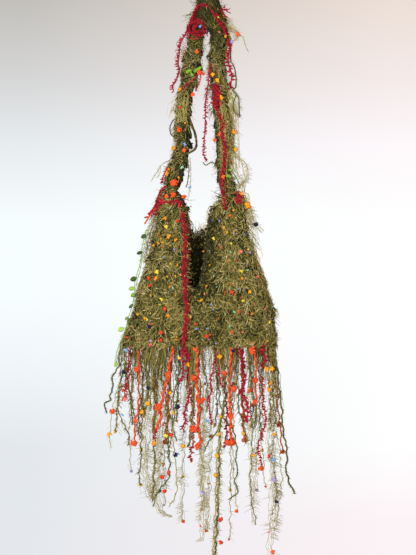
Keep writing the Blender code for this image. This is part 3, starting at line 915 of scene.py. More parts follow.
    def knobbly(
        self, finish: YarnFinish, route: np.ndarray, count: int, half: float, off: float, knob: float
    ) -> None:
        """Winds plies that thicken into knobs, painted lighter there as light and darker between as shade.

        Args:
            finish: The plies' finish.
            route: The yarn's points.
            count: How many plies there are.
            half: Their half width in metres.
            off: How far their middles lie from the yarn's.
            knob: The spacing of the knobs.
        """
        where = np.arange(0, run_along(route)[-1], knob / 3.2)
        fine = resample(route, where)
        across = across_of(fine)
        for index in range(count):
            angle = TURN * (where / (8 * MM) + index / count)[:, None]
            path = fine + (across * np.cos(angle) + FRONT * np.sin(angle)) * off
            swell = np.sin(TURN * where / knob + 1.6 * np.sin(where / (9 * MM)) + 2 * index)
            widths = half * (1 + 0.5 * swell)
            # painted light and shade: lighter on each knob and darker in the narrows between
            tones = 0.45 + 0.38 * swell + 0.1 * self.rng.normal(size=len(where))
            self.piece(finish).add(path[None], widths[None], widths[None], tones[None], sides=4)

    def hairy(self, route: np.ndarray, scale: float, side: int) -> None:
        """Olive chenille: a thin core, close short pile and longer pale eyelashes."""
        self.core(OLIVE, route, 1.1 * MM * scale, 0.3, sides=4)
        self.fuzz(OLIVE, route, 600 * scale, 6.5 * MM, 0.7 * MM, 0.7, (0.0, 0.95))
        self.fuzz(OLIVE, route, 220, 11 * MM, 0.45 * MM, 0.7, (0.4, 1.0))

    def boucle(self, route: np.ndarray, scale: float, side: int) -> None:
        """Two green plies with knobs and small curls."""
        self.knobbly(GREEN, route, 2, 1.05 * MM * scale, 1.0 * MM * scale, 7 * MM)
        self.fuzz(GREEN, route, 800, 4.4 * MM, 0.5 * MM, 0.1, (0.4, 1.0))

    def tape(self, route: np.ndarray, scale: float, side: int) -> None:
        """An orange cord crocheted of three plies, lumpy at each stitch."""
        self.knobbly(ORANGE, route, 3, 1.55 * MM * scale, 1.7 * MM * scale, 5 * MM)
        self.fuzz(ORANGE, route, 220, 2.8 * MM * scale, 0.5 * MM, 0.2, (0.5, 1.0))

    def vine(self, route: np.ndarray, scale: float, side: int) -> None:
        """Crimson ladder yarn: a core with leaflets, and rungs to a second thread where it has come apart."""
        self.core(CRIMSON, route, 1.25 * MM * scale, 0.5)
        self.leaflets(route, 2.2 * MM, 6 * MM * scale, 0.6, side)
        self.fuzz(CRIMSON, route, 900 * scale, 3.4 * MM * scale, 0.55 * MM, 0.2, (0.2, 0.95))
        if side and len(route) > 12:
            self.ladder(route, side, 6.5 * MM * scale)

    def lace(self, route: np.ndarray, scale: float, side: int) -> None:
        """Ladder lace come apart: fine threads side by side, with rows of level hairs mostly to one side."""
        rng = self.rng
        across = across_of(route)
        steps = np.arange(len(route))
        for place in (-1.5, -0.6, 0.3, 1.3):
            swing = place * 2 + 1.1 * np.sin(steps * 0.17 + 5 * place) + 0.5 * np.sin(steps * 0.6 + 3 * place)
            tone = rng.uniform(0.05, 0.6)
            self.core(LACE, route + across * swing[:, None] * MM * scale, 0.46 * MM, tone, sides=3)
        where = np.arange(0, run_along(route)[-1], 1.9 * MM)
        where = where[np.sin(where / (12 * MM) + rng.uniform(0, 6)) > -0.2]
        count = len(where)
        roots = resample(route, where)
        sides = np.where(rng.random(count) < 0.82, 1.0, -1.0) * (1 if rng.random() < 0.5 else -1)
        out = np.stack([sides, rng.normal(size=count) * 0.2, rng.normal(size=count) * 0.12 - 0.12], axis=1)
        reach = rng.uniform(7, 15, count)[:, None, None] * MM * scale
        t = np.array((0.0, 0.6, 1.0))[None, :, None]
        centres = roots[:, None, :] + out[:, None, :] * t * reach + DOWN * 0.2 * reach * t * t
        slim = np.array((0.42, 0.4, 0.25))[None, :] * MM
        self.piece(LACE).add(centres, slim, slim, rng.uniform(0.0, 0.6, count))

    def rust(self, route: np.ndarray, scale: float, side: int) -> None:
        """A rust thread, unevenly spun."""
        self.ply(ORANGE, route, 2, 0.9 * MM * scale, 0.7 * MM * scale, 7 * MM)
        self.fuzz(ORANGE, route, 400, 3.0 * MM, 0.45 * MM, 0.2, (0.0, 0.5))

    def peach(self, route: np.ndarray, scale: float, side: int) -> None:
        """A thin straw thread with long silky hairs."""
        self.core(LACE, route, 0.7 * MM * scale, 0.35, sides=4)
        self.fuzz(LACE, route, 380, 6 * MM * scale, 0.35 * MM, 0.8, (0.1, 0.9))

    def gold(self, route: np.ndarray, scale: float, side: int) -> None:
        """An olive-gold thread with tufts."""
        self.core(OLIVE, route, 0.9 * MM * scale, 0.6, sides=4)
        self.fuzz(OLIVE, route, 700, 4 * MM, 0.45 * MM, 0.3, (0.4, 1.0))

    def olive_cord(self, route: np.ndarray, scale: float, side: int) -> None:
        """A smooth dark cord."""
        self.core(OLIVE, route, 2.3 * MM * scale, 0.05, sides=6)
        self.fuzz(OLIVE, route, 300, 3 * MM, 0.4 * MM, 0.3, (0.3, 0.9))

    def chenille(self, route: np.ndarray, scale: float) -> None:
        """A flat crimson yarn thick with loops."""
        self.ply(CRIMSON, route, 2, 1.5 * MM * scale, 1.6 * MM * scale, 11 * MM)
        self.fuzz(CRIMSON, route, 2400 * scale, 5.2 * MM * scale, 0.8 * MM, 0.1, (0.05, 0.95))
        self.leaflets(route, 1.5 * MM, 6.5 * MM * scale, 0.65)

    def spin(self, kind: Kind, route: np.ndarray, scale: float = 1.0, side: int = 0) -> None:
        """Makes one yarn of a kind along a route."""
        self.makers[kind](route, scale, side)


@dataclass
class Drape:
    """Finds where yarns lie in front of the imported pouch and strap."""

    surfaces: tuple[Surface, ...]

    def front(self, x: float, z: float) -> float | None:
        """The y of the frontmost surface at a place in metres, or None where nothing is there."""
        hits = [y for y in (surface.front_at(x, z) for surface in self.surfaces) if y is not None]
        return min(hits) if hits else None

    def route(self, line: tuple, y: float, proud: float = 4.5) -> np.ndarray:
        """A yarn's route through places read from the front.

        Args:
            line: Places x and z in millimetres, in order.
            y: Its depth in millimetres where nothing is behind it.
            proud: How far its middle lies in front of the surface.

        Returns:
            Points in metres.
        """
        fine = curve_through([(x, y, z) for x, z in line]) * MM
        depths = []
        for x, default, z in fine:
            surface = self.front(x, z)
            depths.append(default if surface is None else min(surface - proud * MM, 0.0))
        padded = np.pad(depths, 4, mode="edge")
        fine[:, 1] = np.convolve(padded, np.full(9, 1 / 9), mode="valid")
        return fine

    def on_front(self, x: float, z: float, default: float, proud: float) -> np.ndarray:
        """The point in front of the surface at a place in millimetres."""
        surface = self.front(x * MM, z * MM)
        depth = default * MM if surface is None else surface - proud * MM
        return np.array((x * MM, depth, z * MM))


# Flecks read from the front: x, z and diameter in millimetres, by colour
BODY_FLECKS = {
    "orange": ((-82, -409, 11), (-68, -407, 13), (-48, -410, 11), (-68, -383, 14), (-53, -429, 5),
        (-100, -486, 5), (39, -539, 4), (100, -569, 7), (99, -547, 5), (67, -611, 5), (44, -448, 7),
        (-4, -716, 6), (-25, -712, 9), (91, -714, 15)),
    "red": ((-60, -459, 8), (-90, -510, 5), (-117, -572, 9), (-115, -587, 9), (-85, -633, 9),
        (-92, -680, 9), (-93, -695, 9), (-161, -691, 7), (56, -537, 5), (46, -584, 5), (48, -600, 9),
        (62, -638, 6), (50, -679, 7), (-3, -687, 10), (-23, -662, 7), (111, -598, 5), (27, -459, 3)),
    "amber": ((-86, -454, 9), (-77, -489, 11), (-99, -503, 7), (-64, -496, 9), (-103, -573, 10),
        (-75, -589, 7), (-78, -646, 8), (68, -573, 8), (87, -642, 7), (-13, -616, 9), (-3, -588, 6),
        (-41, -509, 4), (-63, -693, 7)),
    "gold": ((-90, -501, 7), (-81, -570, 5), (-83, -626, 5), (-139, -644, 8), (-125, -651, 7),
        (32, -472, 7), (38, -481, 7), (83, -599, 9), (-39, -623, 5), (4, -547, 5), (22, -728, 10),
        (51, -437, 6), (-63, -606, 5), (-113, -606, 5)),
    "lemon": ((-83, -470, 9), (-117, -526, 5), (-73, -544, 5), (-101, -560, 9), (-92, -614, 8),
        (-95, -625, 5), (-113, -642, 5), (-121, -654, 7), (46, -503, 6), (80, -515, 6), (66, -558, 9),
        (69, -617, 8), (23, -708, 8), (11, -494, 7), (-34, -648, 6), (122, -659, 7), (-62, -688, 5)),
    "coral": ((-85, -529, 4), (-139, -693, 5), (-115, -706, 6), (66, -520, 9), (51, -556, 5),
        (91, -623, 5), (113, -633, 6), (24, -509, 4), (77, -549, 3)),
    "mint": ((45, -521, 6), (79, -556, 7), (37, -573, 5), (79, -623, 5), (52, -638, 7), (43, -667, 6),
        (11, -568, 5), (-124, -553, 4), (17, -589, 4), (-81, -433, 4)),
    "sky": ((-87, -530, 6), (22, -459, 6), (72, -485, 5), (6, -624, 5), (11, -635, 5), (-1, -671, 6),
        (-22, -672, 6), (-16, -708, 5), (-65, -473, 3)),
    "lilac": ((51, -483, 6), (-114, -696, 7), (1, -693, 5), (16, -701, 4), (4, -519, 3)),
    "navy": ((-116, -668, 9), (36, -717, 6), (28, -454, 5), (-9, -643, 4)),
}
STRAP_FLECKS = {
    "orange": ((-22, -122, 10), (-16, -162, 12), (-56, -277, 13), (-67, -382, 17), (14, -297, 10),
        (31, -370, 10), (-30, -207, 10), (59, -87, 10), (-47, -318, 10), (23, -286, 8)),
    "amber": ((-55, -196, 10), (35, -91, 8), (-69, -313, 10), (-80, -356, 12), (-82, -364, 10),
        (52, -281, 12), (79, -427, 15), (68, -404, 9)),
    "gold": ((10, -167, 10), (20, -179, 12), (27, -213, 11), (55, -316, 10), (-58, -371, 7),
        (30, -50, 9), (-45, -264, 6)),
    "leaf": ((-40, -160, 14), (-20, -157, 15), (-32, -168, 10), (42, -368, 14), (44, -356, 10)),
    "coral": ((7, -60, 10),),
    "sky": ((-15, -72, 8), (-46, -306, 8), (-36, -391, 7)),
    "mint": ((-52, -352, 8),),
    "lilac": ((48, -102, 8),),
    "navy": ((-30, -148, 8), (-50, -364, 9), (95, -465, 13), (-60, -234, 6)),
    "red": ((-10, -166, 8), (-54, -232, 8)),
}
FRINGE_FLECKS = {
    "orange": ((-189, -835, 13), (-141, -752, 15), (-146, -898, 15), (-143, -854, 10), (-78, -764, 15),
        (-97, -828, 18), (-28, -770, 15), (-13, -812, 17), (-28, -870, 18), (-20, -905, 14),
        (32, -761, 12), (51, -791, 15), (45, -845, 15), (94, -818, 13), (94, -774, 13), (90, -716, 18),
        (40, -898, 14), (47, -896, 12), (128, -1114, 10), (-14, -1062, 7), (-26, -714, 10)),
    "red": ((-168, -794, 8), (-73, -882, 9), (-77, -957, 10), (-91, -966, 11), (-86, -994, 11),
        (25, -1050, 11), (25, -1096, 11), (81, -793, 14), (120, -924, 10), (105, -948, 12),
        (-88, -862, 8)),
    "coral": ((-164, -812, 10), (-114, -704, 8), (120, -1074, 7), (-100, -840, 7)),
    "gold": ((-196, -881, 10), (-119, -820, 12), (-75, -799, 9), (-69, -839, 9), (-40, -744, 12),
        (-50, -904, 12), (24, -728, 12), (18, -923, 10), (15, -962, 10), (22, -882, 9), (25, -846, 8),
        (70, -880, 9), (90, -923, 9), (131, -881, 9), (116, -752, 13), (127, -752, 11),
        (-130, -838, 10)),
    "amber": ((-106, -898, 14), (124, -780, 9), (121, -792, 11)),
    "lemon": ((-83, -884, 9), (-56, -730, 8)),
    "navy": ((-166, -758, 11), (-118, -789, 9), (-59, -826, 11), (-64, -922, 10), (136, -1014, 10),
        (50, -716, 8)),
    "lilac": ((-10, -997, 9), (130, -970, 9)),
    "sky": ((-170, -843, 7), (-2, -854, 8), (131, -931, 9), (-162, -714, 9), (-58, -920, 6)),
    "mint": ((2, -858, 6),),
}


@dataclass
class Shag:
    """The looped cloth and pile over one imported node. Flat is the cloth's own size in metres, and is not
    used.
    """

    node: str
    surface: Surface
    flat: tuple[float, float]
    coats: tuple[Coat, ...]
    flecks: dict
    loop_density: float
    scattered: tuple[int, int]
    seed: int
    back_share: float = 0.5
    inner: Coat | None = None

    def cloth(self) -> None:
        """The cloth itself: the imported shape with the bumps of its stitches."""
        bm = bmesh.new()
        bm.from_mesh(self.surface.node.data)
        bmesh.ops.remove_doubles(bm, verts=bm.verts, dist=0.01 * MM)
        mesh = bpy.data.meshes.new(self.node + "_cloth")
        bm.to_mesh(mesh)
        bm.free()
        # painted shade: the cloth takes the near-black finish of the shade under the pile
        piece = dress(self.node + "_cloth", mesh, np.full(len(mesh.vertices), 0.5), CLOTH)
        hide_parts(self.node)

    def pile(self, limits: Limits, drape: Drape) -> None:
        """Grows loops, hair and dyed flecks over the cloth.

        Args:
            limits: The box that they are kept in.
            drape: Finds the surface behind each fleck.
        """
        rng = np.random.default_rng(self.seed)
        surface = self.surface
        pile = Pile(surface, rng)
        front = surface.outside & (surface.centres[:, 1] <= 0.004)
        back = surface.outside & ~front
        sides = (("front", front, 1.0, self.scattered[0]), ("back", back, self.back_share, self.scattered[1]))
        for side, chosen, share, count in sides:
            loops = Strands(f"{self.node}_loops_{side}", LOOPS)
            pile.loops(loops, self.loop_density * share, chosen)
            loops.build(limits)
            hair = Strands(f"{self.node}_hair_{side}", SHAG)
            for coat in self.coats:
                pile.lay(hair, coat, chosen & (rng.random(len(chosen)) < share))
            hair.build(limits)
            trimmer = Trimmer(f"{self.node}_{side}", rng)
            pile.scatter(trimmer, count, chosen)
            if side == "front":
                for colour, rows in self.flecks.items():
                    for x, z, size in rows:
                        trimmer.fleck(drape.on_front(x, z, OPEN_Y, 7.0), FRONT, size * MM, colour)
            trimmer.build(limits)
        if self.inner:
            inside = Strands(f"{self.node}_hair_inside", SHAG)
            pile.lay(inside, self.inner, ~surface.outside, inner=True)
            inside.build(limits)


@dataclass
class Tufts:
    """Longer strands that stand out at the bag's edges, read from the front in millimetres."""

    spread: float = 6.0
    rows: tuple = (
        # x and z where they start, how far they reach in x and z, how many, lowest and highest tone
        (-98, -430, -12, -24, 26, 0.1, 0.6),
        (-104, -452, -16, -26, 26, 0.1, 0.7),
        (-112, -476, -12, -28, 26, 0.1, 0.7),
        (-120, -506, -8, -26, 20, 0.1, 0.7),
        (42, -192, 14, -22, 26, 0.5, 1.0),
        (44, -208, 16, -26, 28, 0.5, 1.0),
        (44, -228, 18, -24, 26, 0.5, 1.0),
        (46, -262, 12, -26, 18, 0.5, 1.0),
        (76, -440, 16, -20, 24, 0.3, 0.9),
        (80, -458, 16, -24, 26, 0.3, 0.9),
        (86, -486, 10, -28, 30, 0.3, 0.9),
        (8, -196, -10, -12, 24, 0.0, 0.6),
        (10, -230, -6, -20, 16, 0.0, 0.6),
        (-46, -216, 8, -24, 18, 0.5, 1.0),
        (-62, -300, -8, -22, 16, 0.4, 1.0),
        (-66, -226, -8, -20, 16, 0.4, 1.0),
        (29, -412, -14, -2, 34, 0.0, 0.35),
        (18, -446, -10, -10, 24, 0.2, 0.8),
        (28, -426, -14, -8, 24, 0.2, 0.8),
        # painted light: the hair on the mouth's back rim takes only pale tones, as if lit from behind by the
        # bright surround
        (-32, -490, 3, 11, 26, 0.7, 1.0),
        (-22, -488, 2, 12, 30, 0.7, 1.0),
        (-12, -486, 0, 14, 30, 0.7, 1.0),
        (-2, -476, -3, 13, 28, 0.7, 1.0),
        (8, -464, -5, 12, 26, 0.6, 1.0),
        (-20, -26, -10, 5, 16, 0.1, 0.6),
        (-30, -46, -11, -6, 18, 0.1, 0.6),
        (20, -32, 12, 4, 18, 0.1, 0.7),
        (32, -56, 16, -8, 26, 0.2, 0.9),
        (40, -68, 18, -12, 22, 0.2, 0.9),
        (-44, -112, -10, -14, 12, 0.4, 0.9),
        (40, -130, 9, -14, 12, 0.4, 0.9),
        (94, -520, 3, -26, 34, 0.75, 1.0),
        (102, -556, 3, -26, 38, 0.75, 1.0),
        (108, -592, 3, -26, 38, 0.75, 1.0),
        (113, -628, 3, -26, 38, 0.75, 1.0),
        (118, -660, 3, -24, 30, 0.75, 1.0),
    )

    def build(self, limits: Limits, drape: Drape) -> None:
        """Grows the tufts.

        Args:
            limits: The box that they are kept in.
            drape: Finds the surface behind each tuft.
        """
        rng = np.random.default_rng(31)
        piece = Strands("edge_tufts", SHAG)
        t = np.linspace(0, 1, 5)[None, :, None]
        for x, z, reach_x, reach_z, count, low, high in self.rows:
            starts = np.array((x, 0, z)) + rng.normal(size=(count, 3)) * np.array((0.5, 0, 1)) * self.spread
            starts[:, 1] = drape.on_front(x, z, OPEN_Y, 2.0)[1] / MM + rng.uniform(0, 14, count)
            reach = np.array((reach_x, 0, reach_z)) * rng.uniform(0.6, 1.3, (count, 1))
            reach = reach + rng.normal(size=(count, 3)) * np.array((4.0, 3.0, 5.0))
            curl = rng.normal(size=(count, 3)) * np.array((5.0, 2.0, 5.0))
            path = starts[:, None, :] + reach[:, None, :] * t + curl[:, None, :] * t * (1 - t) * 2
            half = rng.uniform(0.35, 0.75, (count, 1)) * MM * np.linspace(1, 0.4, 5)[None, :]
            piece.add(path * MM, half, half * 0.8, rng.uniform(low, high, count))
        piece.build(limits)


@dataclass
class Hem:
    """Olive hair that hangs in bunches over the roots of the fringe, in millimetres."""

    left: float = -168.0
    right: float = 130.0
    z: float = -698.0
    depth: float = 30.0
    longest: float = 125.0
    count: int = 2000
    bunches: int = 64
    # x of the middle of the gap that shows in the hem, and half its width
    gap: tuple[float, float] = (-4.0, 9.0)

    def build(self, limits: Limits) -> None:
        """Grows the hair round the hem."""
        rng = np.random.default_rng(23)
        count = self.count
        bunch = rng.integers(self.bunches, size=count)
        x = rng.uniform(self.left, self.right, self.bunches)[bunch] + rng.normal(size=count) * 3.6
        x = x.clip(self.left, self.right)
        y = np.where(rng.random(count) < 0.6, -1.0, 1.0) * self.depth * rng.uniform(0.5, 1.0, count)
        y *= np.sqrt(np.clip(1 - ((x - self.left) / (self.right - self.left) * 2 - 1) ** 2, 0.05, 1))
        z = self.z + rng.uniform(-6, 12, count)
        roots = np.stack([x, y, z], axis=1) * MM
        lean = rng.normal(size=(count, 3)) * np.array((0.09, 0.1, 0.1))
        lean[:, 0] += (rng.normal(size=self.bunches) * 0.12)[bunch]
        lean = lean.clip(-0.16, 0.16)
        length = rng.gamma(2.2, 17.0, count) * rng.uniform(0.6, 1.5, self.bunches)[bunch]
        length = length.clip(8, self.longest)[:, None, None] * MM
        gap_x, half_gap = self.gap
        length *= np.where(np.abs(x - gap_x) < half_gap, 0.3, 1.0)[:, None, None]
        t = np.linspace(0, 1, 5)[None, :, None]
        wave = rng.normal(size=(count, 1, 3)) * np.array((3.0, 2.0, 0.0)) * MM
        turn = rng.uniform(4, 11, (count, 1, 1))
        centres = roots[:, None, :] + length * (DOWN + lean)[:, None, :] * t + wave * np.sin(t * turn) * t
        half = rng.uniform(0.4, 0.9, (count, 1)) * MM * np.linspace(1, 0.5, 5)[None, :]
        piece = Strands("hem_hair", SHAG)
        tones = rng.uniform(0.0, 0.6, count) + (rng.random(self.bunches) ** 2 * 0.4)[bunch]
        piece.add(centres, half, half * 0.8, tones)
        piece.build(limits)


@dataclass
class Fringe:
    """The yarns under the hem. The first table is read from the front, in millimetres down each yarn.

    The two rows behind it don't show from the front and are a guess: root, third, two thirds and tip.
    """

    top_z: float = -700.0
    front: tuple = (
        # kind, y, scale, places x and z
        (Kind.BOUCLE, -14, 1.0, ((-171, -696), (-175, -714), (-179, -748), (-190, -772), (-190, -788),
            (-196, -806), (-194, -815), (-204, -822), (-206, -834), (-200, -842))),
        (Kind.HAIRY, -22, 0.9, ((-168, -692), (-172, -720), (-172, -752), (-176, -790), (-179, -829),
            (-172, -854), (-162, -868), (-156, -892), (-162, -906))),
        (Kind.PEACH, -27, 0.9, ((-174, -776), (-188, -820), (-189, -834), (-192, -856), (-195, -880),
            (-194, -910))),
        (Kind.VINE, -27, 0.8, ((-156, -708), (-158, -740), (-158, -766), (-161, -790), (-164, -814))),
        (Kind.RUST, -26, 1.3, ((-138, -716), (-137, -784), (-138, -829), (-144, -854), (-146, -870),
            (-146, -900))),
        (Kind.HAIRY, -19, 1.1, ((-162, -700), (-166, -728), (-160, -776), (-150, -824), (-140, -872),
            (-134, -892))),
        (Kind.HAIRY, -21, 1.2, ((-154, -704), (-154, -740), (-150, -784), (-154, -824), (-148, -864))),
        (Kind.HAIRY, -23, 1.1, ((-148, -706), (-144, -740), (-140, -780), (-130, -820), (-132, -844))),
        (Kind.HAIRY, -17, 1.2, ((-138, -706), (-132, -748), (-130, -792), (-136, -836), (-138, -880))),
        (Kind.HAIRY, -20, 1.0, ((-128, -708), (-122, -752), (-122, -800), (-130, -840))),
        (Kind.HAIRY, -12, 1.1, ((-120, -708), (-116, -748), (-118, -796), (-112, -836))),
        (Kind.HAIRY, -24, 1.5, ((-110, -710), (-108, -748), (-108, -796), (-104, -836), (-108, -876),
            (-106, -910), (-107, -950), (-108, -990), (-112, -1016))),
        (Kind.LACE, -22, 1.3, ((-116, -776), (-118, -836), (-119, -896), (-126, -936), (-124, -976),
            (-115, -1010))),
        (Kind.LACE, -25, 1.0, ((-96, -816), (-100, -876), (-96, -936), (-100, -990), (-92, -1032),
            (-72, -1045))),
        (Kind.LACE, -23, 1.0, ((-124, -816), (-128, -876), (-120, -956), (-112, -1000), (-96, -1040))),
        (Kind.BOUCLE, -26, 0.8, ((-86, -876), (-78, -920), (-76, -956), (-78, -967), (-98, -996),
            (-110, -1026))),
        (Kind.HAIRY, -18, 1.0, ((-90, -712), (-92, -760), (-84, -812), (-80, -864), (-78, -908),
            (-80, -932))),
        (Kind.PEACH, -25, 1.4, ((-72, -856), (-68, -910), (-61, -976), (-66, -1004), (-76, -1026))),
        (Kind.TAPE, -29, 1.0, ((-70, -708), (-70, -720), (-75, -740), (-79, -755), (-80, -768),
            (-84, -784), (-90, -810), (-94, -828), (-94, -848), (-98, -864), (-105, -875))),
        (Kind.VINE, -28, 0.9, ((-104, -874), (-104, -886), (-106, -898))),
        (Kind.HAIRY, -16, 1.1, ((-100, -710), (-98, -752), (-102, -800), (-96, -844))),
        (Kind.HAIRY, -14, 1.0, ((-82, -712), (-84, -760), (-74, -812), (-76, -856))),
        (Kind.HAIRY, -22, 0.9, ((-62, -712), (-64, -756), (-60, -800), (-66, -840), (-72, -884),
            (-76, -910))),
        (Kind.BOUCLE, -20, 0.8, ((-54, -712), (-56, -756), (-68, -808), (-70, -856), (-64, -896))),
        (Kind.VINE, -28, 1.1, ((-42, -712), (-40, -748), (-39, -762), (-37, -784), (-39, -814),
            (-45, -836), (-47, -861), (-50, -872))),
        (Kind.TAPE, -29, 1.05, ((-22, -710), (-21, -722), (-21, -752), (-21, -790), (-19, -829),
            (-19, -854), (-16, -885), (-18, -902), (-23, -913))),
        (Kind.HAIRY, -23, 1.6, ((-32, -712), (-30, -748), (-27, -782), (-28, -816), (-33, -848),
            (-34, -873), (-40, -908))),
        (Kind.LACE, -24, 1.1, ((-14, -776), (-10, -836), (-11, -922), (-11, -997), (-13, -1061),
            (-10, -1094))),
        (Kind.LACE, -20, 0.9, ((-8, -856), (-16, -936), (-8, -1016), (-4, -1072))),
        (Kind.BOUCLE, -19, 0.7, ((-12, -716), (-10, -748), (-2, -784), (0, -816), (-4, -840))),
        (Kind.VINE, -27, 0.9, ((16, -708), (14, -737), (6, -776), (4, -848), (8, -864))),
        (Kind.VINE, -25, 0.9, ((23, -708), (23, -730), (23, -752), (23, -770), (26, -790))),
        (Kind.BOUCLE, -22, 0.8, ((14, -712), (16, -760), (22, -797), (24, -822), (29, -842), (35, -856),
            (51, -878), (58, -908), (54, -928), (59, -950), (54, -976), (58, -997), (42, -1013))),
        (Kind.HAIRY, -23, 1.6, ((28, -712), (32, -760), (34, -812), (26, -856), (23, -908), (22, -960),
            (20, -1011), (18, -1062), (15, -1106), (13, -1130))),
        (Kind.LACE, -26, 0.7, ((27, -876), (21, -940), (19, -1010), (15, -1070), (11, -1128))),
        (Kind.PEACH, -21, 1.5, ((24, -850), (18, -930), (16, -1000), (12, -1080), (10, -1126))),
        (Kind.BOUCLE, -21, 0.8, ((26, -852), (16, -880), (-2, -902), (-8, -916))),
        (Kind.TAPE, -29, 0.95, ((46, -710), (45, -755), (42, -790), (44, -816), (45, -843), (44, -864),
            (47, -890), (52, -902), (42, -900))),
        (Kind.HAIRY, -17, 1.0, ((36, -710), (40, -752), (48, -796), (46, -836))),
        (Kind.HAIRY, -19, 1.1, ((56, -710), (56, -752), (60, -800), (64, -844), (74, -876), (80, -896))),
        (Kind.VINE, -28, 1.2, ((61, -704), (68, -730), (68, -748), (70, -768), (71, -784), (68, -797),
            (75, -816), (78, -842), (78, -858))),
        (Kind.LACE, -25, 1.2, ((76, -796), (78, -856), (85, -922), (85, -976), (89, -1026), (88, -1059))),
        (Kind.BOUCLE, -23, 0.6, ((84, -816), (88, -876), (86, -932), (84, -988), (90, -1032),
            (96, -1062))),
        (Kind.RUST, -27, 1.3, ((90, -708), (94, -734), (94, -776), (96, -818))),
        (Kind.HAIRY, -20, 1.2, ((78, -710), (84, -748), (88, -796), (96, -840), (92, -864))),
        (Kind.HAIRY, -18, 1.1, ((100, -708), (102, -752), (104, -800), (102, -848), (108, -896))),
        (Kind.VINE, -28, 1.2, ((112, -688), (110, -706), (112, -734), (111, -752))),
        (Kind.VINE, -27, 0.9, ((108, -768), (108, -801), (110, -822), (114, -854), (115, -864),
            (102, -890), (99, -908), (104, -928), (106, -947))),
        (Kind.GOLD, -26, 1.3, ((116, -704), (115, -752), (122, -778), (120, -793))),
        (Kind.HAIRY, -15, 1.1, ((118, -700), (124, -736), (130, -784), (128, -832), (124, -876))),
        (Kind.LACE, -22, 1.5, ((120, -716), (124, -784), (126, -856), (130, -925), (126, -1011),
            (125, -1049), (123, -1106), (123, -1130))),
        (Kind.LACE, -25, 1.0, ((118, -860), (122, -930), (134, -980), (136, -1030), (130, -1072))),
        (Kind.HAIRY, -18, 0.7, ((128, -706), (128, -784), (132, -856), (128, -928), (136, -996),
            (128, -1044))),
        (Kind.PEACH, -20, 1.0, ((136, -876), (144, -932), (146, -986), (138, -1036), (132, -1056))),
        (Kind.BOUCLE, -14, 1.1, ((126, -681), (133, -706), (136, -734), (139, -772), (144, -806),
            (147, -836), (149, -866), (149, -885), (158, -912), (156, -942), (158, -968), (173, -1002))),
        (Kind.HAIRY, -10, 0.9, ((120, -688), (128, -720), (132, -768), (136, -820), (134, -864))),
    )
    rear: tuple = (
        # kind, y, root, third, two_thirds, tip, tip_z
        (Kind.HAIRY, 8, -160, -170, -180, -186, -880),
        (Kind.PEACH, 8, -142, -150, -158, -154, -960),
        (Kind.BOUCLE, 8, -122, -124, -120, -128, -850),
        (Kind.LACE, 8, -98, -96, -95, -98, -1000),
        (Kind.TAPE, 8, -72, -76, -80, -84, -900),
        (Kind.LACE, 8, -46, -44, -50, -52, -1060),
        (Kind.HAIRY, 8, -22, -18, -14, -20, -880),
        (Kind.LACE, 8, 4, 8, 4, -2, -1080),
        (Kind.VINE, 8, 30, 32, 38, 34, -910),
        (Kind.PEACH, 8, 54, 52, 50, 58, -1040),
        (Kind.HAIRY, 8, 80, 84, 90, 86, -870),
        (Kind.PEACH, 8, 104, 110, 108, 114, -990),
        (Kind.RUST, 8, 124, 136, 142, 150, -920),
        (Kind.RUST, 23, -134, -158, -164, -172, -820),
        (Kind.HAIRY, 23, -122, -132, -134, -138, -990),
        (Kind.TAPE, 23, -110, -108, -106, -110, -880),
        (Kind.LACE, 23, -84, -86, -90, -88, -1030),
        (Kind.HAIRY, 23, -60, -58, -62, -64, -860),
        (Kind.VINE, 23, -34, -32, -30, -34, -940),
        (Kind.LACE, 23, -8, -6, -10, -12, -1040),
        (Kind.HAIRY, 23, 18, 20, 18, 16, -870),
        (Kind.PEACH, 23, 42, 44, 46, 44, -1100),
        (Kind.TAPE, 23, 68, 70, 70, 74, -900),
        (Kind.LACE, 23, 86, 94, 98, 96, -1000),
        (Kind.HAIRY, 23, 102, 118, 126, 124, -860),
    )
    nodes: tuple[str, ...] = ("fringe_front", "fringe_inner_front", "fringe_inner_back", "fringe_back")
    bloom_y: float = -32.0

    @staticmethod
    def hang(places: list, rng: np.random.Generator) -> np.ndarray:
        """Hangs a limp yarn, with small waves that begin below its root.

        Args:
            places: The x, y and z that it passes through, in millimetres.
            rng: The source of random numbers.

        Returns:
            Its route in metres.
        """
        points = curve_through(places) * MM
        down = run_along(points) / MM
        phase = rng.uniform(0, TURN, 5)
        sideways = 1.3 * np.sin(down / 7.0 + phase[0] + 1.5 * np.sin(down / 23 + phase[4]))
        sideways += 1.0 * np.sin(down / 3.1 + phase[1] + np.sin(down / 9))
        deep = 3.0 * np.sin(down / 19 + phase[2]) + 1.4 * np.sin(down / 5 + phase[3])
        loose = np.minimum(down / 40, 1)
        points[:, 0] += loose * MM * sideways
        points[:, 1] += loose * MM * deep
        return points

    def build(self, limits: Limits) -> None:
        """Spins every yarn of the fringe and ties on its blooms."""
        rng = np.random.default_rng(41)
        trimmer = Trimmer("fringe", rng)
        for kind, y, scale, line in self.front:
            trimmer.spin(kind, self.hang([(x, y, z) for x, z in line], rng), scale)
        for kind, y, *xs, tip_z in self.rear:
            heights = np.linspace(self.top_z, tip_z, len(xs))
            route = self.hang([(x, y, z) for x, z in zip(xs, heights)], rng)
            trimmer.spin(kind, route)
            self.rear_blooms(trimmer, kind, route)
        for colour, rows in FRINGE_FLECKS.items():
            for x, z, size in rows:
                trimmer.fleck(np.array((x, self.bloom_y, z)) * MM, FRONT, size * MM, colour)
        trimmer.build(limits, self.nodes)

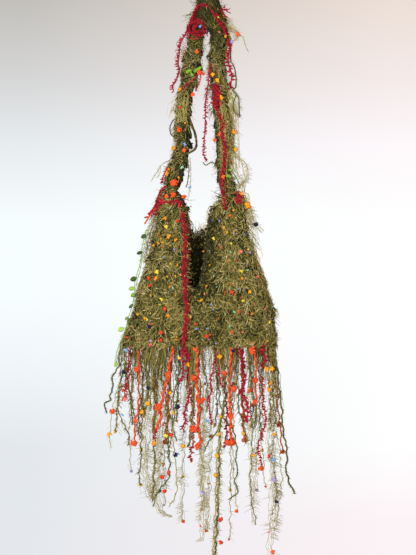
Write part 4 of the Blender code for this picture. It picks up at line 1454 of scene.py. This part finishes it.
    @staticmethod
    def rear_blooms(trimmer: Trimmer, kind: Kind, route: np.ndarray) -> None:
        """Ties blooms or flecks to a yarn of the rear rows.

        Args:
            trimmer: Makes them.
            kind: The yarn's kind.
            route: The yarn's points.
        """
        rng = trimmer.rng
        for spot in route[:: max(len(route) // 4, 1)][1:]:
            if kind in (Kind.TAPE, Kind.RUST):
                trimmer.fleck(spot + BACK * 4 * MM, BACK, 13 * MM, "orange")
            else:
                colour = str(rng.choice(("gold", "lemon", "orange", "red", "lilac", "sky", "navy")))
                trimmer.fleck(spot + BACK * 3 * MM, BACK, rng.uniform(6, 10) * MM, colour)


@dataclass
class StrapYarns:
    """Yarns wound round the strap's top and tied along its arms, read from the front in millimetres."""

    yarns: tuple = (
        # kind, y where free, scale, side, places x and z
        (Kind.VINE, -20, 1.0, -1, ((-40, -78), (-48, -94), (-54, -105), (-57, -127), (-59, -149),
            (-56, -158), (-63, -180), (-70, -190), (-68, -202))),
        (Kind.VINE, -22, 0.9, 0, ((6, -144), (5, -156), (2, -172), (-2, -204), (-5, -224), (-5, -248),
            (-6, -272), (-7, -296), (-8, -316), (-7, -332), (-2, -339))),
        (Kind.BOUCLE, -21, 0.7, 0, ((-10, -342), (-4, -348), (6, -342), (12, -344), (18, -354))),
        (Kind.VINE, -16, 1.25, 0, ((28, -72), (37, -82), (42, -100), (44, -112), (42, -122), (40, -142),
            (44, -156), (47, -168), (45, -194))),
        (Kind.BOUCLE, -12, 0.8, 0, ((40, -88), (46, -100), (45, -136), (53, -154), (56, -176), (55, -192),
            (48, -198))),
        (Kind.BOUCLE, -14, 0.8, 0, ((28, -168), (33, -176), (46, -194), (60, -212), (62, -232),
            (63, -253))),
        (Kind.BOUCLE, -13, 0.7, 0, ((56, -208), (50, -224), (52, -240), (64, -250))),
        (Kind.LACE, -10, 0.9, 0, ((18, -56), (26, -60), (38, -70), (48, -76), (60, -86), (56, -100))),
        (Kind.PEACH, -8, 0.8, 0, ((52, -80), (64, -88), (70, -92), (75, -109), (81, -122))),
        (Kind.VINE, -14, 0.9, 0, ((-14, -160), (-22, -168), (-30, -176), (-40, -186), (-52, -194))),
        (Kind.VINE, -14, 0.6, 0, ((-14, -164), (-16, -180), (-25, -200))),
        (Kind.VINE, -15, 1.3, 0, ((10, -186), (14, -200), (12, -216), (16, -232))),
        (Kind.VINE, -15, 1.3, 0, ((18, -186), (20, -200), (22, -216), (20, -234))),
        (Kind.OLIVE_CORD, -14, 1.0, 0, ((-40, -244), (-32, -268), (-26, -284), (-23, -302), (-25, -314),
            (-36, -322), (-52, -328), (-68, -338), (-80, -348))),
        (Kind.BOUCLE, -10, 0.7, 0, ((-58, -252), (-70, -258), (-76, -274), (-72, -288), (-62, -292))),
        (Kind.PEACH, -8, 0.9, 0, ((-68, -336), (-90, -344), (-104, -364), (-114, -380))),
        (Kind.PEACH, -8, 0.7, 0, ((-76, -336), (-94, -348), (-96, -364), (-102, -372))),
        (Kind.VINE, -9, 0.9, 0, ((-82, -352), (-88, -368), (-94, -384))),
        (Kind.BOUCLE, -8, 0.6, 0, ((-44, -332), (-38, -352), (-40, -376), (-44, -392))),
        (Kind.PEACH, -8, 0.8, 0, ((-36, -332), (-34, -360), (-36, -392), (-40, -412))),
        (Kind.VINE, -14, 1.1, 1, ((-82, -388), (-94, -396), (-100, -412), (-106, -428), (-114, -442))),
        (Kind.VINE, -14, 1.4, 0, ((-88, -418), (-100, -428), (-112, -440), (-118, -450))),
        (Kind.TAPE, -14, 0.55, 0, ((-100, -426), (-110, -440), (-120, -454), (-126, -464))),
        (Kind.VINE, -14, 1.8, 0, ((-90, -416), (-80, -422), (-66, -419), (-54, -422))),
        (Kind.VINE, -14, 1.5, 0, ((58, -398), (60, -412), (60, -426))),
        (Kind.VINE, -14, 1.0, 0, ((66, -414), (70, -424), (72, -436))),
        (Kind.LACE, -15, 1.0, 0, ((46, -296), (52, -320), (66, -340), (72, -362), (76, -376), (64, -396),
            (80, -408), (80, -426), (90, -448), (96, -466), (110, -480))),
        (Kind.LACE, -13, 0.9, 0, ((42, -300), (50, -316), (56, -348), (62, -368), (70, -384), (72, -408),
            (84, -432), (92, -456))),
        (Kind.LACE, -14, 0.8, 0, ((40, -316), (60, -332), (76, -348), (78, -372), (70, -388), (76, -424),
            (86, -440))),
        (Kind.BOUCLE, -12, 0.6, 0, ((48, -360), (54, -368), (62, -384), (64, -394))),
        (Kind.VINE, -16, 1.0, 0, ((-28, -58), (-28, -45), (-20, -36), (-7, -29), (4, -35), (13, -44),
            (20, -52), (26, -68))),
        (Kind.VINE, -17, 0.9, 0, ((-32, -60), (-22, -56), (-10, -62), (-4, -74), (-10, -86), (-24, -90),
            (-36, -82), (-38, -70), (-30, -60))),
        (Kind.VINE, -18, 0.9, 0, ((-28, -68), (-18, -64), (-10, -72), (-14, -82), (-26, -84), (-32, -76))),
        (Kind.VINE, -17, 0.8, 0, ((-42, -88), (-34, -94), (-24, -96), (-18, -90))),
        (Kind.VINE, -12, 0.7, 0, ((22, -40), (30, -34), (34, -29))),
        (Kind.VINE, -13, 0.7, 0, ((24, -40), (34, -38), (42, -44))),
        (Kind.VINE, -12, 0.7, 0, ((26, -40), (32, -46), (38, -53))),
        (Kind.VINE, -11, 0.6, 0, ((24, -38), (34, -36), (43, -37))),
    )
    knots: tuple = (
        # scale, places x and z of crimson yarn bunched thickly
        (0.9, ((-34, -66), (-24, -62), (-12, -66), (-8, -76), (-18, -84), (-30, -78), (-22, -70))),
        (0.7, ((-40, -76), (-30, -88), (-16, -88), (-8, -82))),
        (0.62, ((-42, -78), (-36, -66), (-30, -50), (-23, -35), (-14, -29), (-4, -30), (4, -36), (12, -48),
            (22, -64), (32, -76), (38, -92))),
        (1.0, ((14, -186), (18, -200), (16, -218), (19, -234))),
    )
    rear: tuple = (
        # kind, places x, y and z, a guess
        (Kind.VINE, ((-16, 18, -36), (-24, 21, -84), (-34, 21, -140), (-44, 20, -200))),
        (Kind.BOUCLE, ((16, 18, -36), (20, 21, -90), (22, 20, -150), (26, 20, -208))),
    )
    wrap_count: int = 1300
    right_straws: int = 15
    left_straws: int = 15

    def wrap(self, limits: Limits, rng: np.random.Generator) -> None:
        """Winds the bundle that holds the two arms together under the top fold, painted dark as shade.

        Args:
            limits: The box that it is kept in.
            rng: The source of random numbers.
        """
        count = self.wrap_count
        z = rng.uniform(-76, -20, count)
        wide = np.interp(-z, (20, 40, 60, 80), (15, 24, 28, 20))
        middle = np.interp(-z, (20, 60, 80), (0, 4, 2))
        turn = rng.uniform(0, TURN, count)
        outward = np.stack([np.cos(turn), np.sin(turn), np.zeros(count)], axis=1)
        roots = np.stack([middle + wide * np.cos(turn), 17 * np.sin(turn), z], axis=1) * MM
        level = np.cross(UP, outward)
        lean = rng.normal(size=(count, 1)) * 1.1
        along = unit(DOWN + level * lean)
        t = np.linspace(-0.5, 0.5, 4)[None, :, None]
        length = rng.uniform(12, 26, count)[:, None, None] * MM
        arch = (1 - 3.2 * t * t) * rng.uniform(1, 5, count)[:, None, None] * MM
        centres = roots[:, None, :] + along[:, None, :] * t * length + outward[:, None, :] * arch
        half = rng.uniform(0.5, 1.0, (count, 1)) * MM * np.array((0.7, 1.0, 1.0, 0.5))[None, :]
        piece = Strands("top_bundle", SHAG)
        # painted shade: the bundle's hairs take only the shag's darkest tones, as the shade under the top
        # fold
        piece.add(centres, half, half * 0.8, rng.beta(1.0, 6.0, count), hint=outward)
        piece.build(limits, ("top_wrap",))

    def build(self, limits: Limits, drape: Drape) -> None:
        """Spins the yarns of the strap.

        Args:
            limits: The box that they are kept in.
            drape: Finds the surface behind each yarn.
        """
        rng = np.random.default_rng(52)
        trimmer = Trimmer("strap_yarns", rng)
        for kind, y, scale, side, line in self.yarns:
            trimmer.spin(kind, drape.route(line, y), scale, side)
        for scale, line in self.knots:
            trimmer.chenille(drape.route(line, -20, 10.0), scale)
        for kind, places in self.rear:
            trimmer.spin(kind, curve_through(places) * MM)
        self.wrap(limits, rng)
        for x in np.linspace(18, 54, self.right_straws) + rng.normal(size=self.right_straws) * 2:
            drop, spread = rng.uniform(0, 30), rng.normal() * 4
            line = ((x, -206 - drop), (x + 4, -250), (x + 7 + spread, -290), (x + 9 + spread, -335 - drop))
            trimmer.spin(Kind.PEACH, drape.route(line, -12), rng.uniform(0.5, 1.0))
        for x in np.linspace(-62, -42, self.left_straws) + rng.normal(size=self.left_straws) * 2:
            line = ((x + 4, -196 - rng.uniform(0, 20)), (x + 2, -225), (x - 2 + rng.normal() * 3, -262))
            trimmer.spin(Kind.PEACH, drape.route(line, -12), 0.8)
        trimmer.build(limits, ("top_wrap", "right_lace"))


@dataclass
class Bands:
    """The crimson chenille laid down the pouch's front by the mouth, and the one down the right arm."""

    line: tuple = ((-52, -439), (-48, -458), (-44, -474), (-44, -492), (-45, -518), (-46, -544),
        (-46, -569), (-44, -594), (-44, -614), (-42, -632), (-43, -658), (-46, -678), (-48, -696),
        (-48, -714))
    tails: tuple = (
        ((-48, -712), (-51, -732), (-48, -755), (-55, -777)),
        ((-46, -708), (-42, -716), (-35, -735)),
    )
    arm_line: tuple = ((18, -216), (20, -241), (28, -261), (29, -288), (34, -314), (32, -346), (29, -366),
        (29, -398), (32, -421), (36, -437))
    proud: float = 6.0

    def build(self, limits: Limits, drape: Drape) -> None:
        """Lays both bands.

        Args:
            limits: The box that they are kept in.
            drape: Finds the surface behind them.
        """
        front = Trimmer("front_band", np.random.default_rng(61))
        front.chenille(drape.route(self.line, -24, self.proud), 1.0)
        for tail in self.tails:
            front.spin(Kind.VINE, drape.route(tail, -44, 5.0), 1.0)
        front.build(limits, ("crimson_band",))
        arm = Trimmer("arm_band", np.random.default_rng(62))
        arm.chenille(drape.route(self.arm_line, -16, self.proud), 0.85)
        arm.build(limits, ("crimson_tape",))


@dataclass
class LeafVine:
    """A pale green ladder yarn with cut leaves down the pouch's left side."""

    stem: tuple = ((-122, -476), (-124, -488), (-134, -540), (-142, -576), (-148, -616), (-160, -666),
        (-176, -708), (-184, -744))
    leaves: tuple = (
        # x, z, length, width, turn in degrees, tone
        (-128, -489, 13, 8, 35, 0.15),
        (-136, -522, 13, 7, 20, 0.1),
        (-148, -574, 15, 10, 18, 0.15),
        (-152, -593, 13, 8, 15, 0.85),
        (-149, -606, 11, 8, 40, 0.6),
        (-153, -628, 12, 6, 45, 0.25),
        (-173, -674, 14, 9, 22, 0.95),
        (-183, -744, 11, 7, 60, 0.9),
        (-162, -652, 9, 5, 50, 0.5),
    )
    y: float = -15.0

    def build(self, limits: Limits) -> None:
        """Spins the stem and sets its leaves."""
        trimmer = Trimmer("leaf_vine", np.random.default_rng(71))
        route = curve_through([(x, self.y, z) for x, z in self.stem]) * MM
        steps = np.arange(len(route))
        for place in (-1, 1):
            swing = place * (1.6 + np.sin(steps * 0.21 + place))
            sway = np.stack([swing, 0.6 * np.sin(steps * 0.4), 0 * steps], axis=1)
            trimmer.core(LEAF, route + sway * MM, 0.75 * MM, 0.75, sides=4)
        trimmer.fuzz(LEAF, route, 320, 5 * MM, 0.4 * MM, 0.2, (0.4, 0.9))
        t = np.linspace(0, 1, 7)
        for x, z, length, width, turn, tone in self.leaves:
            angle = math.radians(turn)
            out = unit(np.array((math.cos(angle), -0.15, math.sin(angle))))
            middle = np.array((x, self.y - 1, z)) * MM
            cup = FRONT * (np.sin(t * math.pi) * 1.5 * MM)[:, None]
            centres = middle + out * ((t - 0.5) * length * MM)[:, None] + cup
            halves = np.sin(t * math.pi) ** 0.7 * width * MM / 2 + 0.25 * MM
            depths = np.full((1, 7), 0.55 * MM)
            trimmer.piece(LEAF).add(centres[None], halves[None], depths, np.full((1, 7), tone), sides=6)
        trimmer.build(limits, ("leaf_vine",))


@dataclass
class Studio:
    """A surround that is bright behind the bag, a floor below the picture, soft lights and the camera."""

    photo_height: float = 555.0
    mm_per_pixel: float = 2.0
    hang_row: float = -8.0
    distance: float = 3.0
    sensor: float = 24.0
    floor_z: float = -1.42
    floor_radius: float = 0.5
    # name, place, size in metres, power in watts
    lights: tuple = (
        ("key", (-1.1, -2.3, -0.1), 0.8, 65),
        ("fill", (0.2, -2.4, -0.5), 1.0, 14),
        ("back", (0.5, 1.9, 0.3), 1.4, 9),
    )
    # the paper's colours behind the bag from low to high, on its left and on its right
    left_paper: tuple = (
        (0.1, "e4e8ec"),
        (0.22, "e4e8ec"),
        (0.35, "f0f5f9"),
        (0.47, "f7feff"),
        (0.59, "f7feff"),
        (0.72, "e7ecef"),
        (0.83, "d5d5d5"),
        (0.96, "c1beb9"),
    )
    right_paper: tuple = (
        (0.1, "fdf3f6"),
        (0.22, "ffffff"),
        (0.6, "ffffff"),
        (0.72, "fef8fb"),
        (0.83, "f4eae8"),
        (0.96, "ecded5"),
    )

    def build(self) -> None:
        """Sets up the studio."""
        scene = bpy.context.scene
        scene.view_settings.view_transform = "Standard"
        self.surround()
        mesh = bpy.data.meshes.new("floor")
        bm = bmesh.new()
        bmesh.ops.create_circle(bm, cap_ends=True, segments=64, radius=self.floor_radius)
        bmesh.ops.translate(bm, verts=bm.verts, vec=(0, 0, self.floor_z))
        bm.to_mesh(mesh)
        bm.free()
        floor = bpy.data.objects.new("floor", mesh)
        scene.collection.objects.link(floor)
        material = bpy.data.materials.new("pale_paper")
        material.use_nodes = True
        material.node_tree.nodes["Principled BSDF"].inputs["Base Color"].default_value = linear("e8eaec")
        mesh.materials.append(material)
        floor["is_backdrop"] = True
        for row in self.lights:
            self.light(*row)
        self.camera()

    def surround(self) -> None:
        """A pale surround: bright behind the bag, greyer above it, and dimmer in front and to the sides."""
        world = bpy.data.worlds.new("pale_surround")
        world.use_nodes = True
        tree = world.node_tree
        tree.nodes.clear()
        place = add_node(tree, "ShaderNodeTexCoord")
        way = add_node(tree, "ShaderNodeSeparateXYZ", Vector=place.outputs["Generated"]).outputs
        height = add_node(tree, "ShaderNodeMapRange", Value=way["Z"], From_Min=-0.2, From_Max=0.2)
        across = add_node(tree, "ShaderNodeMapRange", Value=way["X"], From_Min=-0.12, From_Max=0.12)
        left = add_node(tree, "ShaderNodeValToRGB", stops=self.left_paper, Fac=height.outputs["Result"])
        right = add_node(tree, "ShaderNodeValToRGB", stops=self.right_paper, Fac=height.outputs["Result"])
        paper = add_node(
            tree,
            "ShaderNodeMixRGB",
            Fac=across.outputs["Result"],
            Color1=left.outputs["Color"],
            Color2=right.outputs["Color"],
        )
        behind = add_node(
            tree, "ShaderNodeMapRange", Value=way["Y"], From_Min=0.8, From_Max=0.94, To_Min=0.42
        )
        background = add_node(
            tree, "ShaderNodeBackground", Color=paper.outputs["Color"], Strength=behind.outputs["Result"]
        )
        output = add_node(tree, "ShaderNodeOutputWorld")
        tree.links.new(background.outputs["Background"], output.inputs["Surface"])
        bpy.context.scene.world = world

    def light(self, name: str, place: tuple[float, float, float], size: float, power: float) -> None:
        """Adds one square soft light that looks at the bag.

        Args:
            name: Its name.
            place: Where it is, in metres.
            size: The length of its side in metres.
            power: Its power in watts.
        """
        data = bpy.data.lights.new(name, "AREA")
        data.size = size
        data.energy = power
        lamp = bpy.data.objects.new(name, data)
        lamp.location = place
        aim = Vector((0, 0, -0.6)) - Vector(place)
        lamp.rotation_euler = aim.to_track_quat("-Z", "Y").to_euler()
        bpy.context.scene.collection.objects.link(lamp)

    def camera(self) -> None:
        """Places the camera straight in front, framed as the photograph is."""
        scale = self.mm_per_pixel * MM
        data = bpy.data.cameras.new("camera")
        data.sensor_fit = "VERTICAL"
        data.sensor_height = self.sensor
        data.lens = self.sensor * self.distance / (self.photo_height * scale)
        camera = bpy.data.objects.new("camera", data)
        camera.location = (0, -self.distance, -(self.photo_height / 2 - self.hang_row) * scale)
        camera.rotation_euler = (math.pi / 2, 0, 0)
        bpy.context.scene.collection.objects.link(camera)
        bpy.context.scene.camera = camera


def main() -> None:
    """Builds the bag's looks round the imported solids."""
    logging.basicConfig(level=logging.INFO, format="%(message)s")
    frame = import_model()
    limits = Limits()
    Studio().build()
    pouch_surface = Surface(frame["nodes"]["pouch"], -0.018)
    strap_surface = Surface(frame["nodes"]["shoulder_strap"])
    drape = Drape((pouch_surface, strap_surface))
    pouch = Shag(
        "pouch",
        pouch_surface,
        flat=(0.62, 0.31),
        coats=(
            Coat(70000, 21, 0.92, 5.0, 0.6, low_tone=0.06, overhang=3.5),
            Coat(22000, 14, 0.42, 8.0, 0.9, rings=3, low_tone=0.35, overhang=6.5),
        ),
        flecks=BODY_FLECKS,
        loop_density=15000,
        scattered=(70, 200),
        seed=7,
        # painted light: the hair inside takes only light tones, so that the mouth's shaded hollow is not
        # black
        inner=Coat(13000, 16, 1.3, 5.0, 0.8, rings=3, low_tone=0.6, overhang=3.0),
    )
    strap = Shag(
        "shoulder_strap",
        strap_surface,
        flat=(0.04, 0.86),
        coats=(
            Coat(64000, 16, 0.68, 3.5, 0.5, low_tone=0.1, overhang=3.5),
            Coat(28000, 14, 0.38, 7.0, 0.9, rings=3, low_tone=0.3, overhang=9.0),
        ),
        flecks=STRAP_FLECKS,
        loop_density=14000,
        scattered=(36, 60),
        seed=9,
        back_share=0.75,
    )
    for shag in (pouch, strap):
        shag.cloth()
        shag.pile(limits, drape)
    Tufts().build(limits, drape)
    Hem().build(limits)
    Fringe().build(limits)
    StrapYarns().build(limits, drape)
    Bands().build(limits, drape)
    LeafVine().build(limits)


if __name__ == "__main__":
    main()
